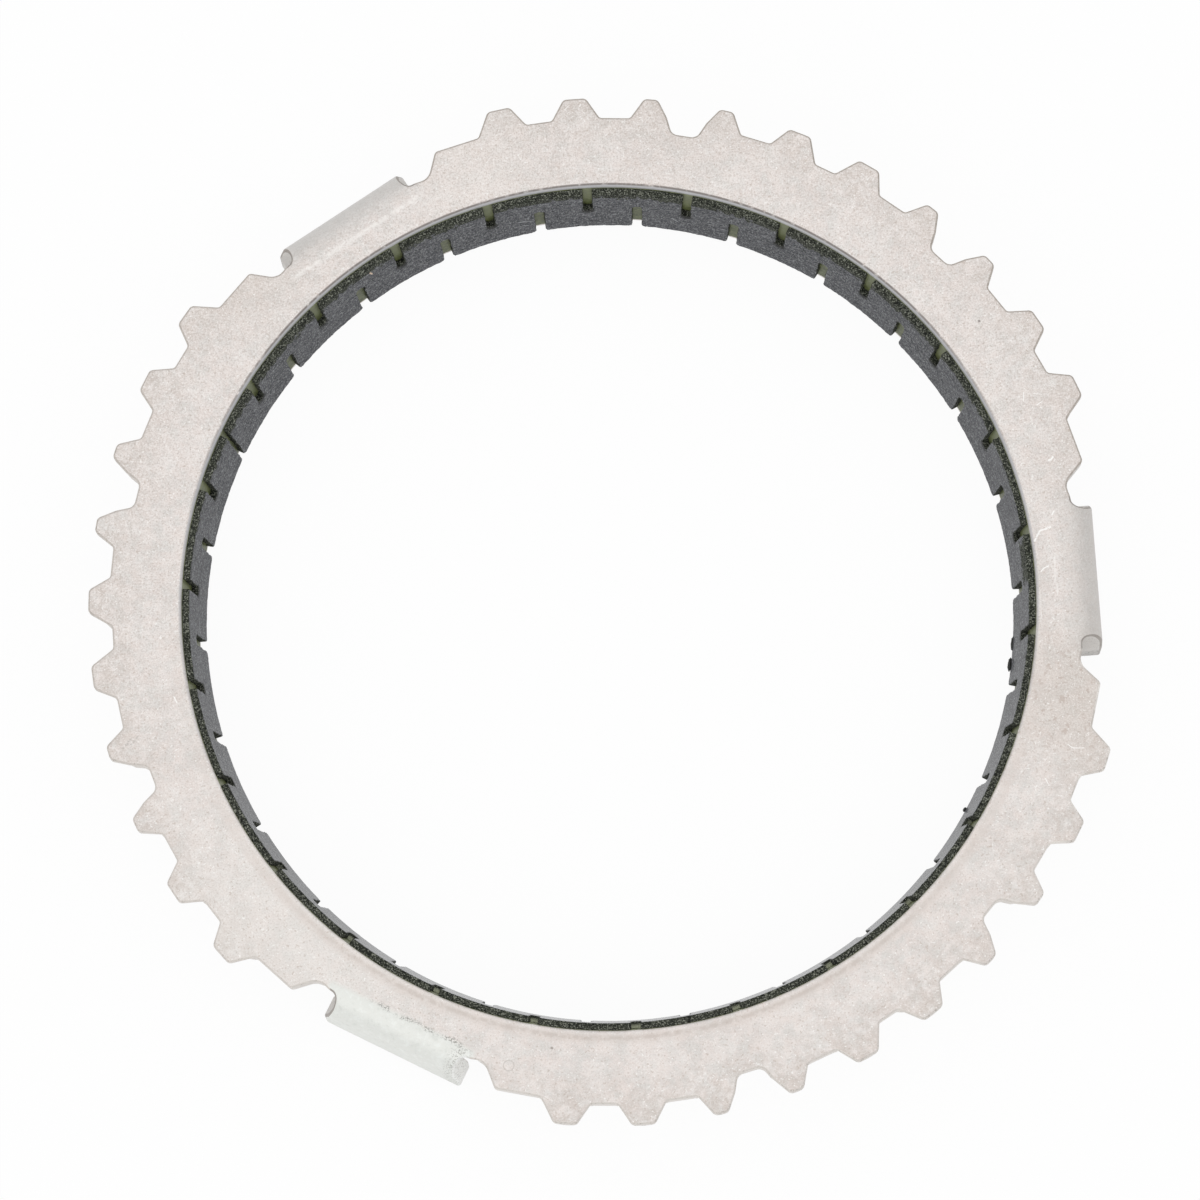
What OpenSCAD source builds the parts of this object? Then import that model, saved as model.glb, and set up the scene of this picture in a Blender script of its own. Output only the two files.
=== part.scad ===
// Synchronizer ring of a gearbox: a pressed steel ring with blocking teeth, a friction cone and
// three bent lugs, and a slotted friction lining bonded inside the cone.
// Z is the ring's axis. The ring stands on the small end of its cone, at z = 0, and its flat toothed
// face, the gear side, is at the top. The first lug lies on +X.

/* [Friction cone] */
// Diameter of the steel cone's inside where it meets the front face
cone_diameter = 82.1; // [76:0.1:92]
// Angle between the cone's wall and the ring's axis, in degrees
cone_half_angle = 7; // [5:0.5:9]
// Wall thickness of the steel cone
cone_wall = 1.8; // [1.4:0.1:2.4]
// Height of the ring along its axis
ring_height = 9.3; // [8.5:0.1:12]
// Rounding of the front edge of the cone's mouth
mouth_round = 0.45; // [0.2:0.05:0.8]
// Fillet between the cone's outside and the back of the flange
neck_fillet = 1.2; // [0.6:0.1:1.6]
// Chamfer on the two edges of the cone's small end
end_chamfer = 0.25; // [0.1:0.05:0.5]

/* [Flange] */
// Thickness of the flange and of the lugs
sheet_thickness = 2.2; // [1.6:0.1:2.8]
// Width of the flange from the cone's mouth to the roots of the teeth
flange_width = 6.95; // [6:0.05:9]

/* [Teeth] */
// Tooth pitches in one third of the ring
pitches_per_third = 14; // [13:1:16]
// Teeth in one third of the ring, the rest of it is the lug's place
teeth_per_third = 10; // [9:1:10]
// Teeth between a lug's place and the first deep gap
teeth_before_deep_gap = 3; // [2:1:4]
// Height of the teeth above their roots
tooth_height = 2; // [1.4:0.1:2.4]
// Width of a wide tooth across its tip
wide_tip = 2.2; // [1.6:0.05:2.6]
// Width of a narrow tooth across its tip, beside each deep gap
narrow_tip = 1.34; // [1:0.02:1.8]
// Angle between a tooth's flank and its middle line, in degrees
flank_angle = 31; // [24:1:34]
// Rounding of the corners at the tips
tip_round = 0.4; // [0.2:0.05:0.5]
// Slope of the blocking chamfers on the hub side, in degrees from the flange
blocking_angle = 35; // [28:1:40]
// Distance from the flange's back in to the ridge between the blocking chamfers
ridge_inset = 0.15; // [0.05:0.05:0.4]
// Depth of the low floors, beside the lugs and in the middle of a third, below the roots
low_floor_depth = 0.28; // [0.1:0.02:0.5]
// Depth of the deep gaps below the roots
deep_gap_depth = 1.27; // [0.8:0.01:1.8]
// Width of the floor of the deep gaps
deep_gap_width = 2.4; // [1.8:0.1:2.7]
// Lean of the sides of the deep gaps, in degrees
deep_gap_angle = 25; // [15:1:27]
// Rounding of the corners at the bottom of the deep gaps
deep_gap_round = 0.85; // [0.3:0.05:1]

/* [Lugs] */
// Width of a lug
lug_width = 14.4; // [11:0.1:17]
// Distance from the roots of the teeth in to the outside of a lug's bend
lug_inset = 0.8; // [0.4:0.05:1.4]
// Lean of a lug out from the ring's axis towards its free end, in degrees
lug_lean = 1; // [0:0.5:5]
// Inside radius of a lug's bend
lug_bend = 1; // [0.6:0.1:1.4]
// Height of a lug's free end above the ring's small end
lug_end_height = 0.6; // [0.3:0.1:2]
// Rounding of the corners at a lug's free end
lug_corner = 0.35; // [0.2:0.05:1.6]
// Depth of the reliefs in the sides of the bend
relief_depth = 0.6; // [0.2:0.05:0.8]
// Radius of the lower end of the reliefs in the sides of the bend
relief_radius = 1.5; // [0.9:0.1:1.8]
// Depth of the notches beside a lug, from the roots of the teeth
notch_depth = 3.25; // [2.6:0.05:3.6]
// Width of the floor of a notch, from the lug's side
notch_width = 1.75; // [1.4:0.05:2.4]
// Lean of a notch's outer side away from the lug, in degrees
notch_angle = 47; // [35:1:55]
// Rounding at the bottom of a notch
notch_round = 1.2; // [0.6:0.1:1.4]
// Rounding of the corner between a notch and the low floor
notch_lip_round = 0.5; // [0.2:0.1:0.8]

/* [Lining] */
// Thickness of the friction lining
lining_thickness = 0.65; // [0.4:0.05:1]
// Thickness of the glue line between the steel and the lining
glue_line = 0.05; // [0.02:0.01:0.1]
// Distance from the front face down to the lining
lining_front_inset = 0.25; // [0.1:0.05:0.6]
// Distance from the small end up to the lining
lining_back_inset = 0.45; // [0.2:0.05:0.8]
// Number of slots that are open to the front
front_slots = 26; // [20:1:32]
// Width of the slots that are open to the front
front_slot_width = 0.95; // [0.7:0.05:1.4]
// Depth of the slots that are open to the front
front_slot_depth = 4.2; // [3:0.1:5.5]
// Width of the slots that are open to the back
back_slot_width = 1; // [0.7:0.05:1.4]
// Depth of the slots that are open to the back
back_slot_depth = 5.35; // [3:0.05:6]
// Rounding of the lining's corners at the back
lining_corner = 0.45; // [0.2:0.05:0.7]
// Direction of the gap where the two ends of the lining meet, in degrees from the first lug
joint_direction = 151.7; // [140:0.1:160]
// Width of the gap where the two ends of the lining meet
joint_gap = 0.6; // [0.3:0.05:1]
// Width lost from the pattern at the gap
joint_allowance = 1; // [0.6:0.1:1.6]

/* [Hidden] */
$fn = 180;
// Facets of the small roundings
small_fn = 32;
// The ring repeats three times
thirds = 3;
third_angle = 360 / thirds;
// Room by which cutting shapes run past what they cut
overrun = 1;
// Step by which a rounding crosses the faces that it joins, so that it ends in no feather edge
lip = 0.02;

// Ring
mouth_radius = cone_diameter / 2;
root_radius = mouth_radius + flange_width;
tip_radius = root_radius + tooth_height;
low_floor_radius = root_radius - low_floor_depth;
deep_gap_radius = root_radius - deep_gap_depth;
flange_back = ring_height - sheet_thickness;
radial_wall = cone_wall / cos(cone_half_angle);

// Teeth
pitch_angle = third_angle / pitches_per_third;
first_tooth_angle = third_angle / 2 - (teeth_per_third - 1) / 2 * pitch_angle;
tooth_foot = deep_gap_radius - overrun;
half_pitch = root_radius * tan(pitch_angle / 2);

// Lugs
lug_face = root_radius - lug_inset;
bend_outside = lug_bend + sheet_thickness;
bend_start = lug_face - bend_outside;
bend_height = ring_height - bend_outside;
notch_floor = root_radius - notch_depth;
notch_corner = lug_width / 2 + notch_width;
flange_middle = ring_height - sheet_thickness / 2;
// Extra on the sides and the outer face of a lug's blank
lug_trim = 0.2;

// Lining
lining_front = ring_height - lining_front_inset;
lining_back = lining_back_inset;
lining_reach = mouth_radius - ring_height * tan(cone_half_angle) - lining_thickness - overrun;
lining_depth = mouth_radius + overrun - lining_reach;
joint_angle = joint_allowance / mouth_radius * 180 / PI;
slot_pitch = (360 - joint_angle) / front_slots;

// Radius of the steel cone's inside at a height
function cone_inside(z) = mouth_radius - (ring_height - z) * tan(cone_half_angle);

// Radius of the steel cone's outside at a height
function cone_outside(z) = cone_inside(z) + radial_wall;

// Radius of the lining's glued side at a height
function lining_outside(z) = cone_inside(z) - glue_line / cos(cone_half_angle);

// Distance from the ring's axis to a lug's inner or outer face at a height, for the radius of its bend
function lug_side(bend_radius, z) =
  bend_start + bend_radius / cos(lug_lean) + (bend_height - z) * tan(lug_lean);

// Furthest that a lug's blank reaches from the ring's axis
lug_reach = lug_side(bend_outside, lug_end_height) + lug_trim;

// Unit vector at an angle, in the plane of an outline
function along(angle) = [cos(angle), sin(angle)];

// Distance from the corner of an outline to where a rounding circle touches its sides
function corner_touch(angle_a, angle_b, radius) = radius / tan((angle_b - angle_a) / 2);

// Centre of the circle that rounds a corner whose sides leave it at two angles
function corner_centre(corner, angle_a, angle_b, radius) =
  corner + along((angle_a + angle_b) / 2) * radius / sin((angle_b - angle_a) / 2);

// Cut that rounds the corner of an outline, running past its two sides
module rounding_cut(corner, angle_a, angle_b, radius) {
  middle = (angle_a + angle_b) / 2;
  touch = corner_touch(angle_a, angle_b, radius);
  centre = corner_centre(corner, angle_a, angle_b, radius);
  touch_a = corner + along(angle_a) * touch;
  touch_b = corner + along(angle_b) * touch;
  difference() {
    polygon([
      centre,
      touch_a,
      touch_a + along(angle_a - 90) * overrun,
      corner - along(middle) * overrun / sin(middle - angle_a),
      touch_b + along(angle_b + 90) * overrun,
      touch_b
    ]);
    translate(centre) circle(r = radius + lip, $fn = small_fn);
  }
}

// Stands an outline up so that its x runs along Y, its y along Z and its depth along X
module stand_across(depth) {
  rotate([90, 0, 90]) linear_extrude(height = depth) children();
}

// Stands an outline up so that its x runs along X, its y along Z and its width along Y, middle on X
module stand_along(width) {
  rotate([90, 0, 0]) linear_extrude(height = width, center = true) children();
}

// Section of the cone with its flange, reaching past the tips of the teeth
module ring_section() {
  down_cone = -90 - cone_half_angle;
  neck = [cone_outside(flange_back), flange_back];
  neck_touch = corner_touch(down_cone, 0, neck_fillet);
  neck_centre = corner_centre(neck, down_cone, 0, neck_fillet);
  difference() {
    polygon([
      [cone_inside(end_chamfer), end_chamfer],
      [mouth_radius, ring_height],
      [tip_radius + overrun, ring_height],
      [tip_radius + overrun, flange_back],
      neck + along(0) * neck_touch,
      neck_centre,
      neck + along(down_cone) * neck_touch,
      [cone_outside(end_chamfer), end_chamfer],
      [cone_outside(0) - end_chamfer, 0],
      [cone_inside(0) + end_chamfer, 0]
    ]);
    translate(neck_centre) circle(r = neck_fillet - lip, $fn = small_fn);
    rounding_cut([mouth_radius, ring_height], down_cone, 0, mouth_round);
  }
}

// Outline of one tooth with its middle line on X, from inside the rim to its rounded tip
module tooth_outline(tip_width) {
  set_back = tip_round * tan(45 - flank_angle / 2);
  land = tip_width / 2 - set_back;
  shoulder = tip_width / 2 + set_back * sin(flank_angle);
  shoulder_radius = tip_radius - set_back * cos(flank_angle);
  foot = tip_width / 2 + (tip_radius - tooth_foot) * tan(flank_angle);
  polygon([
    [tooth_foot, -foot],
    [shoulder_radius, -shoulder],
    [tip_radius, -land],
    [tip_radius, land],
    [shoulder_radius, shoulder],
    [tooth_foot, foot]
  ]);
  for (side = [-1, 1])
    translate([tip_radius - tip_round, side * land]) circle(r = tip_round, $fn = small_fn);
}

// Number of a tooth from the nearer end of its third
function from_end(tooth) = min(tooth, teeth_per_third - 1 - tooth);

// Teeth on either side of a deep gap are the narrow ones
function beside_deep_gap(tooth) =
  from_end(tooth) == teeth_before_deep_gap - 1 || from_end(tooth) == teeth_before_deep_gap;

// Direction of a tooth, counted from the lug before it
function tooth_angle(tooth) = first_tooth_angle + tooth * pitch_angle;

// Takes the rim down to the low floor over an angle on both sides of X
module low_floor_cut(half_angle) {
  reach = (tip_radius + overrun) / cos(half_angle);
  difference() {
    polygon([[0, 0], reach * along(-half_angle), reach * along(half_angle)]);
    circle(r = low_floor_radius);
  }
}

// Cut into the rim, open outwards: a flat bottom, leaning sides and round bottom corners
module rim_cut(bottom, half, lean, corner, mouth) {
  touch = corner * tan(45 - lean / 2);
  mouth_half = half + (mouth - bottom) * tan(lean);
  touch_low = [bottom, half - touch];
  touch_high = [bottom, half] + along(lean) * touch;
  polygon([
    [touch_low.x, -touch_low.y],
    [touch_high.x, -touch_high.y],
    [mouth, -mouth_half],
    [mouth, mouth_half],
    touch_high,
    touch_low
  ]);
  for (side = [0, 1])
    mirror([0, side])
      translate([bottom + corner, touch_low.y]) circle(r = corner, $fn = small_fn);
}

// Deep gap between two teeth
module deep_gap_cut() {
  rim_cut(deep_gap_radius, deep_gap_width / 2, deep_gap_angle, deep_gap_round, tip_radius + overrun);
}

// Opening in the rim for a lug, with a round-bottomed notch at each end of it
module lug_bay_cut() {
  rim_cut(notch_floor, notch_corner, notch_angle, notch_round, root_radius + overrun);
  for (side = [0, 1])
    mirror([0, side]) notch_lip_cut();
}

// Outline of a lug seen along the ring's axis, before its outside is cut to shape
module lug_outline() {
  translate([bend_start, -lug_width / 2]) square([lug_reach - bend_start, lug_width]);
}

// Rounds the corner where a notch's outer side meets the low floor
module notch_lip_cut() {
  up = along(notch_angle);
  inward = along(notch_angle + 90);
  start = [notch_floor, notch_corner] + inward * notch_lip_round;
  ahead = start * up;
  travel = sqrt(ahead * ahead - start * start + pow(low_floor_radius - notch_lip_round, 2)) - ahead;
  centre = start + up * travel;
  touch_side = centre - inward * notch_lip_round;
  touch_floor = centre * (low_floor_radius + overrun) / norm(centre);
  difference() {
    polygon([centre, touch_side, touch_side + up * 2 * (notch_lip_round + overrun), touch_floor]);
    translate(centre) circle(r = notch_lip_round + lip, $fn = small_fn);
  }
}

// Outline of the flange with its teeth, gaps, lug bays and lugs
module flange_outline() {
  difference() {
    union() {
      difference() {
        circle(r = root_radius);
        for (third = [0 : thirds - 1])
          rotate(third * third_angle) {
            low_floor_cut(first_tooth_angle);
            for (tooth = [0 : teeth_per_third - 2])
              if (beside_deep_gap(tooth) && beside_deep_gap(tooth + 1) || 2 * (tooth + 1) == teeth_per_third)
                rotate(tooth_angle(tooth + 0.5)) low_floor_cut(pitch_angle / 2);
          }
      }
      for (third = [0 : thirds - 1], tooth = [0 : teeth_per_third - 1])
        rotate(third * third_angle + tooth_angle(tooth))
          tooth_outline(beside_deep_gap(tooth) ? narrow_tip : wide_tip);
    }
    for (third = [0 : thirds - 1])
      rotate(third * third_angle) {
        lug_bay_cut();
        for (gap = [teeth_before_deep_gap, teeth_per_third - teeth_before_deep_gap])
          rotate(tooth_angle(gap - 0.5)) deep_gap_cut();
      }
  }
  for (third = [0 : thirds - 1])
    rotate(third * third_angle) lug_outline();
}

// Cuts the hub side of a tooth to a roof: a blocking chamfer falls to each flank from a middle ridge
module blocking_chamfers() {
  ridge = flange_back + ridge_inset;
  eaves = ridge + half_pitch * tan(blocking_angle);
  translate([root_radius, 0, 0])
    stand_across(tooth_height + overrun)
      polygon([
        [-half_pitch, flange_back - overrun],
        [half_pitch, flange_back - overrun],
        [half_pitch, eaves],
        [0, ridge],
        [-half_pitch, eaves]
      ]);
}

// Blank of a lug seen along the ring's edge, with the inside of its bend
module lug_profile() {
  difference() {
    polygon([
      [lug_side(lug_bend, lug_end_height), lug_end_height],
      [lug_reach, lug_end_height],
      [lug_reach, flange_middle],
      [bend_start, flange_middle],
      [bend_start, bend_height],
      [lug_side(lug_bend, bend_height), bend_height]
    ]);
    translate([bend_start, bend_height]) circle(r = lug_bend - lip, $fn = small_fn);
  }
}

// Blank of one lug, on +X, which the flange's outline trims to its width
module lug_blank() {
  stand_along(lug_width + 2 * lug_trim) lug_profile();
}

// What lies outside a lug's bend and its leaning outer face, seen along the ring's edge
module lug_outside() {
  high = ring_height + overrun;
  low = lug_end_height - overrun;
  edge = [lug_side(bend_outside, ring_height), ring_height];
  rounding_cut(edge, 180, 270 + lug_lean, bend_outside);
  polygon([
    [lug_side(bend_outside, high), high],
    [lug_side(bend_outside, low), low],
    [lug_reach + overrun, low],
    [lug_reach + overrun, high]
  ]);
}

// Relief in one side of a lug's bend, open to the front and round at its lower end
module relief_outline() {
  circle(r = relief_radius, $fn = small_fn);
  translate([-relief_radius, 0]) square([2 * relief_radius, bend_outside]);
}

// Cuts that finish a lug: the outside of its bend and its outer face, the reliefs in the bend's sides,
// and the corners of its free end
module lug_cuts() {
  half = lug_width / 2;
  stand_along(2 * notch_corner) lug_outside();
  translate([notch_floor, 0, 0])
    stand_across(lug_reach - notch_floor) {
      for (side = [-1, 1])
        translate([side * (half - relief_depth + relief_radius), ring_height - bend_outside / 2])
          relief_outline();
      rounding_cut([-half, lug_end_height], 0, 90, lug_corner);
      rounding_cut([half, lug_end_height], 90, 180, lug_corner);
    }
}

// Steel ring, pressed from one blank
module ring_body() {
  color("lightgray")
    difference() {
      intersection() {
        union() {
          rotate_extrude() ring_section();
          for (third = [0 : thirds - 1])
            rotate(third * third_angle) lug_blank();
        }
        linear_extrude(height = ring_height) flange_outline();
      }
      for (third = [0 : thirds - 1]) {
        rotate(third * third_angle) lug_cuts();
        for (tooth = [0 : teeth_per_third - 1])
          rotate(third * third_angle + tooth_angle(tooth)) blocking_chamfers();
      }
    }
}

// Section of the lining, with its ends square to the cone
module lining_section() {
  across = lining_thickness * [-cos(cone_half_angle), sin(cone_half_angle)];
  back = [lining_outside(lining_back), lining_back];
  front = [lining_outside(lining_front), lining_front];
  polygon([back, front, front + across, back + across]);
}

// Slot outline open to the front, with a round end
module front_slot() {
  half = front_slot_width / 2;
  bottom = lining_front - front_slot_depth + half;
  translate([-half, bottom]) square([front_slot_width, front_slot_depth + overrun]);
  translate([0, bottom]) circle(r = half, $fn = small_fn);
}

// Rounding of the lining's back corners on both sides of an opening of a given width
module back_corners(width) {
  for (side = [0, 1])
    mirror([side, 0])
      difference() {
        translate([0, lining_back - overrun]) square([width / 2 + lining_corner, overrun + lining_corner]);
        translate([width / 2 + lining_corner, lining_back + lining_corner])
          circle(r = lining_corner, $fn = small_fn);
      }
}

// Slot outline open to the back, with a round end
module back_slot() {
  half = back_slot_width / 2;
  top = lining_back + back_slot_depth - half;
  translate([-half, lining_back - overrun]) square([back_slot_width, top - lining_back + overrun]);
  translate([0, top]) circle(r = half, $fn = small_fn);
  back_corners(back_slot_width);
}

// Gap between the two ends of the lining
module joint_opening() {
  translate([-joint_gap / 2, lining_back - overrun])
    square([joint_gap, lining_front - lining_back + 2 * overrun]);
  back_corners(joint_gap);
}

// Cuts an outline through the lining in a direction counted from the joint
module through_lining(angle) {
  rotate(joint_direction + angle) translate([lining_reach, 0, 0]) stand_across(lining_depth) children();
}

// Friction lining: one strip, slotted from both edges in turn, with its ends meeting at the joint
module friction_lining() {
  color("dimgray")
    difference() {
      rotate_extrude() lining_section();
      for (slot = [0 : front_slots - 1])
        through_lining(joint_angle / 2 + (slot + 0.5) * slot_pitch) front_slot();
      for (slot = [1 : front_slots - 1])
        through_lining(joint_angle / 2 + slot * slot_pitch) back_slot();
      through_lining(0) joint_opening();
    }
}

ring_body();
friction_lining();
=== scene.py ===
import math

import bpy
import numpy as np
from mathutils import Matrix, Vector
from mathutils.geometry import delaunay_2d_cdt
from mathutils.kdtree import KDTree


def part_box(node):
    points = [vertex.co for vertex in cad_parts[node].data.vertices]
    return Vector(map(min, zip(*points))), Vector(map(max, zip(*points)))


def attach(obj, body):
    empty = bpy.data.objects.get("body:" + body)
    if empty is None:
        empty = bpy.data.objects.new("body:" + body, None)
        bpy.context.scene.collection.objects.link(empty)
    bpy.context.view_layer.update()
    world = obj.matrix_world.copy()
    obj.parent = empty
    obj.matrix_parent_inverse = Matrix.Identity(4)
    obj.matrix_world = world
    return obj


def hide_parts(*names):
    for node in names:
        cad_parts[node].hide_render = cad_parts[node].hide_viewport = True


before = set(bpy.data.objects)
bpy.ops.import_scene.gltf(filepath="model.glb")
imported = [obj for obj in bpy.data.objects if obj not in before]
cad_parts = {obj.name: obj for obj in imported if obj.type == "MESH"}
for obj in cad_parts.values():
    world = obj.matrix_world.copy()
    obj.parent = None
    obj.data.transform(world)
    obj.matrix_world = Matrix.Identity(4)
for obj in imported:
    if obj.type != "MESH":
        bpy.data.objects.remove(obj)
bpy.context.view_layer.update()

# Lengths below are in millimetres and directions in degrees, in the frame of the CAD model
MM = 0.001

# Sizes read from the frame
RING_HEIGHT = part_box("ring_body")[1].z / MM
TIP_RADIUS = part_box("ring_body")[1].y / MM

# Friction cone
CONE_DIAMETER = 82.1
CONE_ANGLE = math.radians(7)
CONE_WALL = 1.8
MOUTH_ROUND = 0.3
NECK_FILLET = 1.2
END_ROUND = 0.3

# Flange and teeth
SHEET = 2.2
FLANGE_WIDTH = 6.95
WIDE_TIP = 2.2
NARROW_TIP = 1.34
FLANK_ANGLE = math.radians(31)
TIP_ROUND = 0.6
ROOT_ROUND = 0.45
BLOCKING_ANGLE = math.radians(35)
RIDGE_INSET = 0.15
LOW_FLOOR_DEPTH = 0.28
DEEP_GAP_DEPTH = 1.27
DEEP_GAP_WIDTH = 2.4
DEEP_GAP_ANGLE = math.radians(25)
DEEP_GAP_ROUND = 0.85
GAP_SHOULDER_ROUND = 1.3
PITCHES_PER_THIRD = 14
TEETH_PER_THIRD = 10
TEETH_BEFORE_DEEP_GAP = 3

# Lugs
LUG_DIRECTIONS = (0, 120, 240)
LUG_WIDTH = 14.4
LUG_INSET = 0.8
LUG_LEAN = math.radians(1)
LUG_BEND = 1
LUG_END_HEIGHT = 0.6
LUG_CORNER = 0.43
LUG_FOOT_INSET = 0.57
LUG_FOOT_ROUND = 0.7
WAIST_INSET = 0.78
WAIST_TRAVEL = 1.75
WAIST_ROUND = 1.5
WAIST_END = 4.6
WAIST_END_ROUND = 2
NOTCH_DEPTH = 3.25
NOTCH_WIDTH = 1.75
NOTCH_ANGLE = math.radians(47)
NOTCH_ROUND = 1.5
NOTCH_LIP_ROUND = 0.5
BEND_FADE = 1.2
LUG_TRIMS = (0.3, 0, 0)

# Painted shade on the lugs' bends, and on the pale lug a lighter tone that is partly its own and partly
# painted light: direction, screen tone, strength, and from where to where past the bend's start
LUG_LIGHT_AND_SHADE = (
    (0, (196, 193, 189), 0.75, -0.8, 3.3),
    (120, (206, 204, 201), 0.72, -0.2, 2.6),
    (240, (233, 235, 230), 0.85, -0.1, 0.4),
)

# Places of a painted highlight along one lug's crease, of the dark specks along the pale lug's crease and of
# its rough end: a span is a middle, a half width and a fade
CREASED_LUG = 120
CREASE_INSET = 0.35
PALE_LUG = 240
PALE_CREASE = 0.5
PALE_CREASE_WANDER = 0.7
PALE_CREASE_SLOPE = 0.02
PALE_CREASE_SPAN = (1.9, 4.4, 1.2)
PALE_END_SPAN = (6.5, 0.5, 0.9)

# Edges of the pressing: the die rolls the front ones, the back ones are nearly sharp
FRONT_ROUND = 0.28
BACK_ROUND = 0.09
EDGE_STEPS = 4
EDGE_SUPPORT = 0.12

# Kinds of surface on the pressing: the sheet, its rolled front edges and its sheared walls
SHEET_FACE = 0
ROLLED = 1
SHEARED = 2
ROLLED_STRIPS = 3

# Kinds of surface on the lining and on the glue
FRICTION_FACE = 0
CUT_EDGE = 1
FILM = 0
LUMP = 1

# Lining
LINING_THICKNESS = 0.66
GLUE_LINE = 0.05
LINING_FRONT_INSET = 0.25
LINING_BACK_INSET = 0.45
FRONT_SLOTS = 26
FRONT_SLOT_WIDTH = 0.95
FRONT_SLOT_DEPTH = 4.2
BACK_SLOT_WIDTH = 1
BACK_SLOT_DEPTH = 5.35
LINING_CORNER = 0.45
LINING_FRONT_CORNER = 0.1
SLOT_END_ROUND = 0.48
JOINT_DIRECTION = 151.9
JOINT_GAP = 0.6
JOINT_ALLOWANCE = 1
LINING_EDGE_ROUND = 0.09
LINING_RAGGED = 0.04
FRAY_SHARES = (0.6, 0.4)
FRAY_LIMITS = (-0.09, 0.06)
EDGE_SHARES = (0.4, 1.5)

# Film and lumps of glue
GLUE_BACK_INSET = 0.15
GLUE_FRONT_RISE = 0.05
GLUE_BEHIND = 0.004
GLUE_LEAST = 0.012
GLUE_BUMPS = 0.03
LUMP_REACH = (0.8, 1.15)

# Seeds of the random draws
FRAY_SEED = 11
EDGE_SEED = 3
TEAR_SEED = 21
GLUE_SEED = 5

# Marks on the front: lines as points (x, y) and a width, spots and stains as x, y and size with a tone
BRIGHT_SCRATCHES = (
    (((41.22, 3.29), (41.82, 4.27), (42.21, 4.35), (42.85, 4.55)), 0.17),
    (((41.6, 0.28), (41.92, 0.6), (42.36, 0.77)), 0.11),
    (((43.09, 5.75), (43.31, 6.08)), 0.14),
    (((41.3, 17.88), (41.23, 16.98)), 0.07),
    (((42.5, 16.57), (42.96, 16.83)), 0.08),
    (((42.24, 17.72), (43.02, 17.56)), 0.06),
    (((43.2, 11.07), (43.42, 11.12), (43.62, 11.36)), 0.17),
    (((42.85, -16.6), (43.3, -16.97), (44.35, -17.03)), 0.07),
    (((40.46, -19.72), (40.73, -20.42)), 0.08),
    (((-0.98, 48.96), (-0.56, 49.34)), 0.06),
    (((-42.13, -6.17), (-41.88, -6.77)), 0.11),
)
FAINT_STREAKS = (
    (((43.04, 1.8), (42.89, -0.73)), 0.16),
    (((43.07, -1.04), (43.01, -2.1)), 0.15),
    (((41.32, -3.65), (41.31, -4.23)), 0.09),
)
DARK_SPOTS = (
    (37.57, 25.19, 0.08, (112, 100, 92)),
    (-8.21, -42.24, 0.09, (150, 140, 132)),
)
SMEAR = (
    (((-47.2, -10.75), (-46.5, -10.05)), 0.3),
    (((-46.75, -10.8), (-46.1, -10.1)), 0.22),
    (((-46.3, -10.3), (-45.8, -9.75)), 0.16),
)
STAINS = (
    (44.5, -12, 9, 0.5, (208, 198, 189)),
    (46.5, 10.5, 6, 0.4, (210, 200, 193)),
    (-33, 35, 8, 0.4, (212, 202, 194)),
    (-31, -31, 20, 0.45, (237, 233, 228)),
    (10, 46.5, 7, 0.35, (212, 203, 197)),
    (-10, 43.5, 8, 0.4, (238, 230, 224)),
)
STAIN_CORE = 0.3
# A small dent that the mesh does not have: a darker ring of painted shade at its rim
RING_DENT = (-12.39, -43.61)
RING_DENT_RADIUS = 0.5
LINE_CORE = 0.3
LINE_FADE = 0.7

# Streaked and rusty parts of the front: place, outer radius and radius of full strength
STREAKED = ((-4, 45.5), 5.5, 2)
RUSTY = ((43, -12.5), 8, 3)

# Where tones begin and where they are full: names with SIDE count along y, the others as their use says
BROWN_RIM = (44.6, 49)
COARSE_GRAIN_SIDE = (-40, 20)
SOFT_GRAIN_SIDE = (5, -30)
SOFT_GRAIN = 0.4
# Painted shade on the mouth's rounding and at the end of the flat front, towards the upper side
MOUTH_SHADE_SIDE = (-20, 15)
MOUTH_SHADE_LINE_SIDE = (8, 28)
WARM_RADIUS = 41.85
WARM_SIDE = (10, -25)
RUBBED_RADIUS = 41.75
RUBBED_SIDE = (-22, -36)
# Painted light on the sheet's edges: lighter on the lower and left sides, highlights on the right
LIT_EDGE_SIDE = (5, -25)
LIT_LEFT_EDGE = (25, 45)
HIGHLIGHT_EDGE_REACH = (36, 45)
HIGHLIGHT_EDGE_SIDE = (0, -9)
TIP_EDGE = (49.2, 49.6)
ROUGH_END = (6, 6.4)
END_FACE = (44.8, 45.2)
TORN_END = (4.6, 3.6)
SMOOTH_END = (4.4, 5.2)
# Painted shade and dark fray round the front slots' inner ends
SLOT_SHADE_FRAY = (0.98, 0.72)
SLOT_SHADE_FRAY_RISE = 0.1
SLOT_SHADE_FRAY_FUZZ = 0.4
# Pale tone on the lower slots' end walls, partly glue and partly painted light
GLUE_AND_LIGHT_RADIUS = (40, 40.3)
GLUE_AND_LIGHT_SIDE = (-18, -32)
LIGHT_GLUE = (4.5, 6.5)

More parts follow.
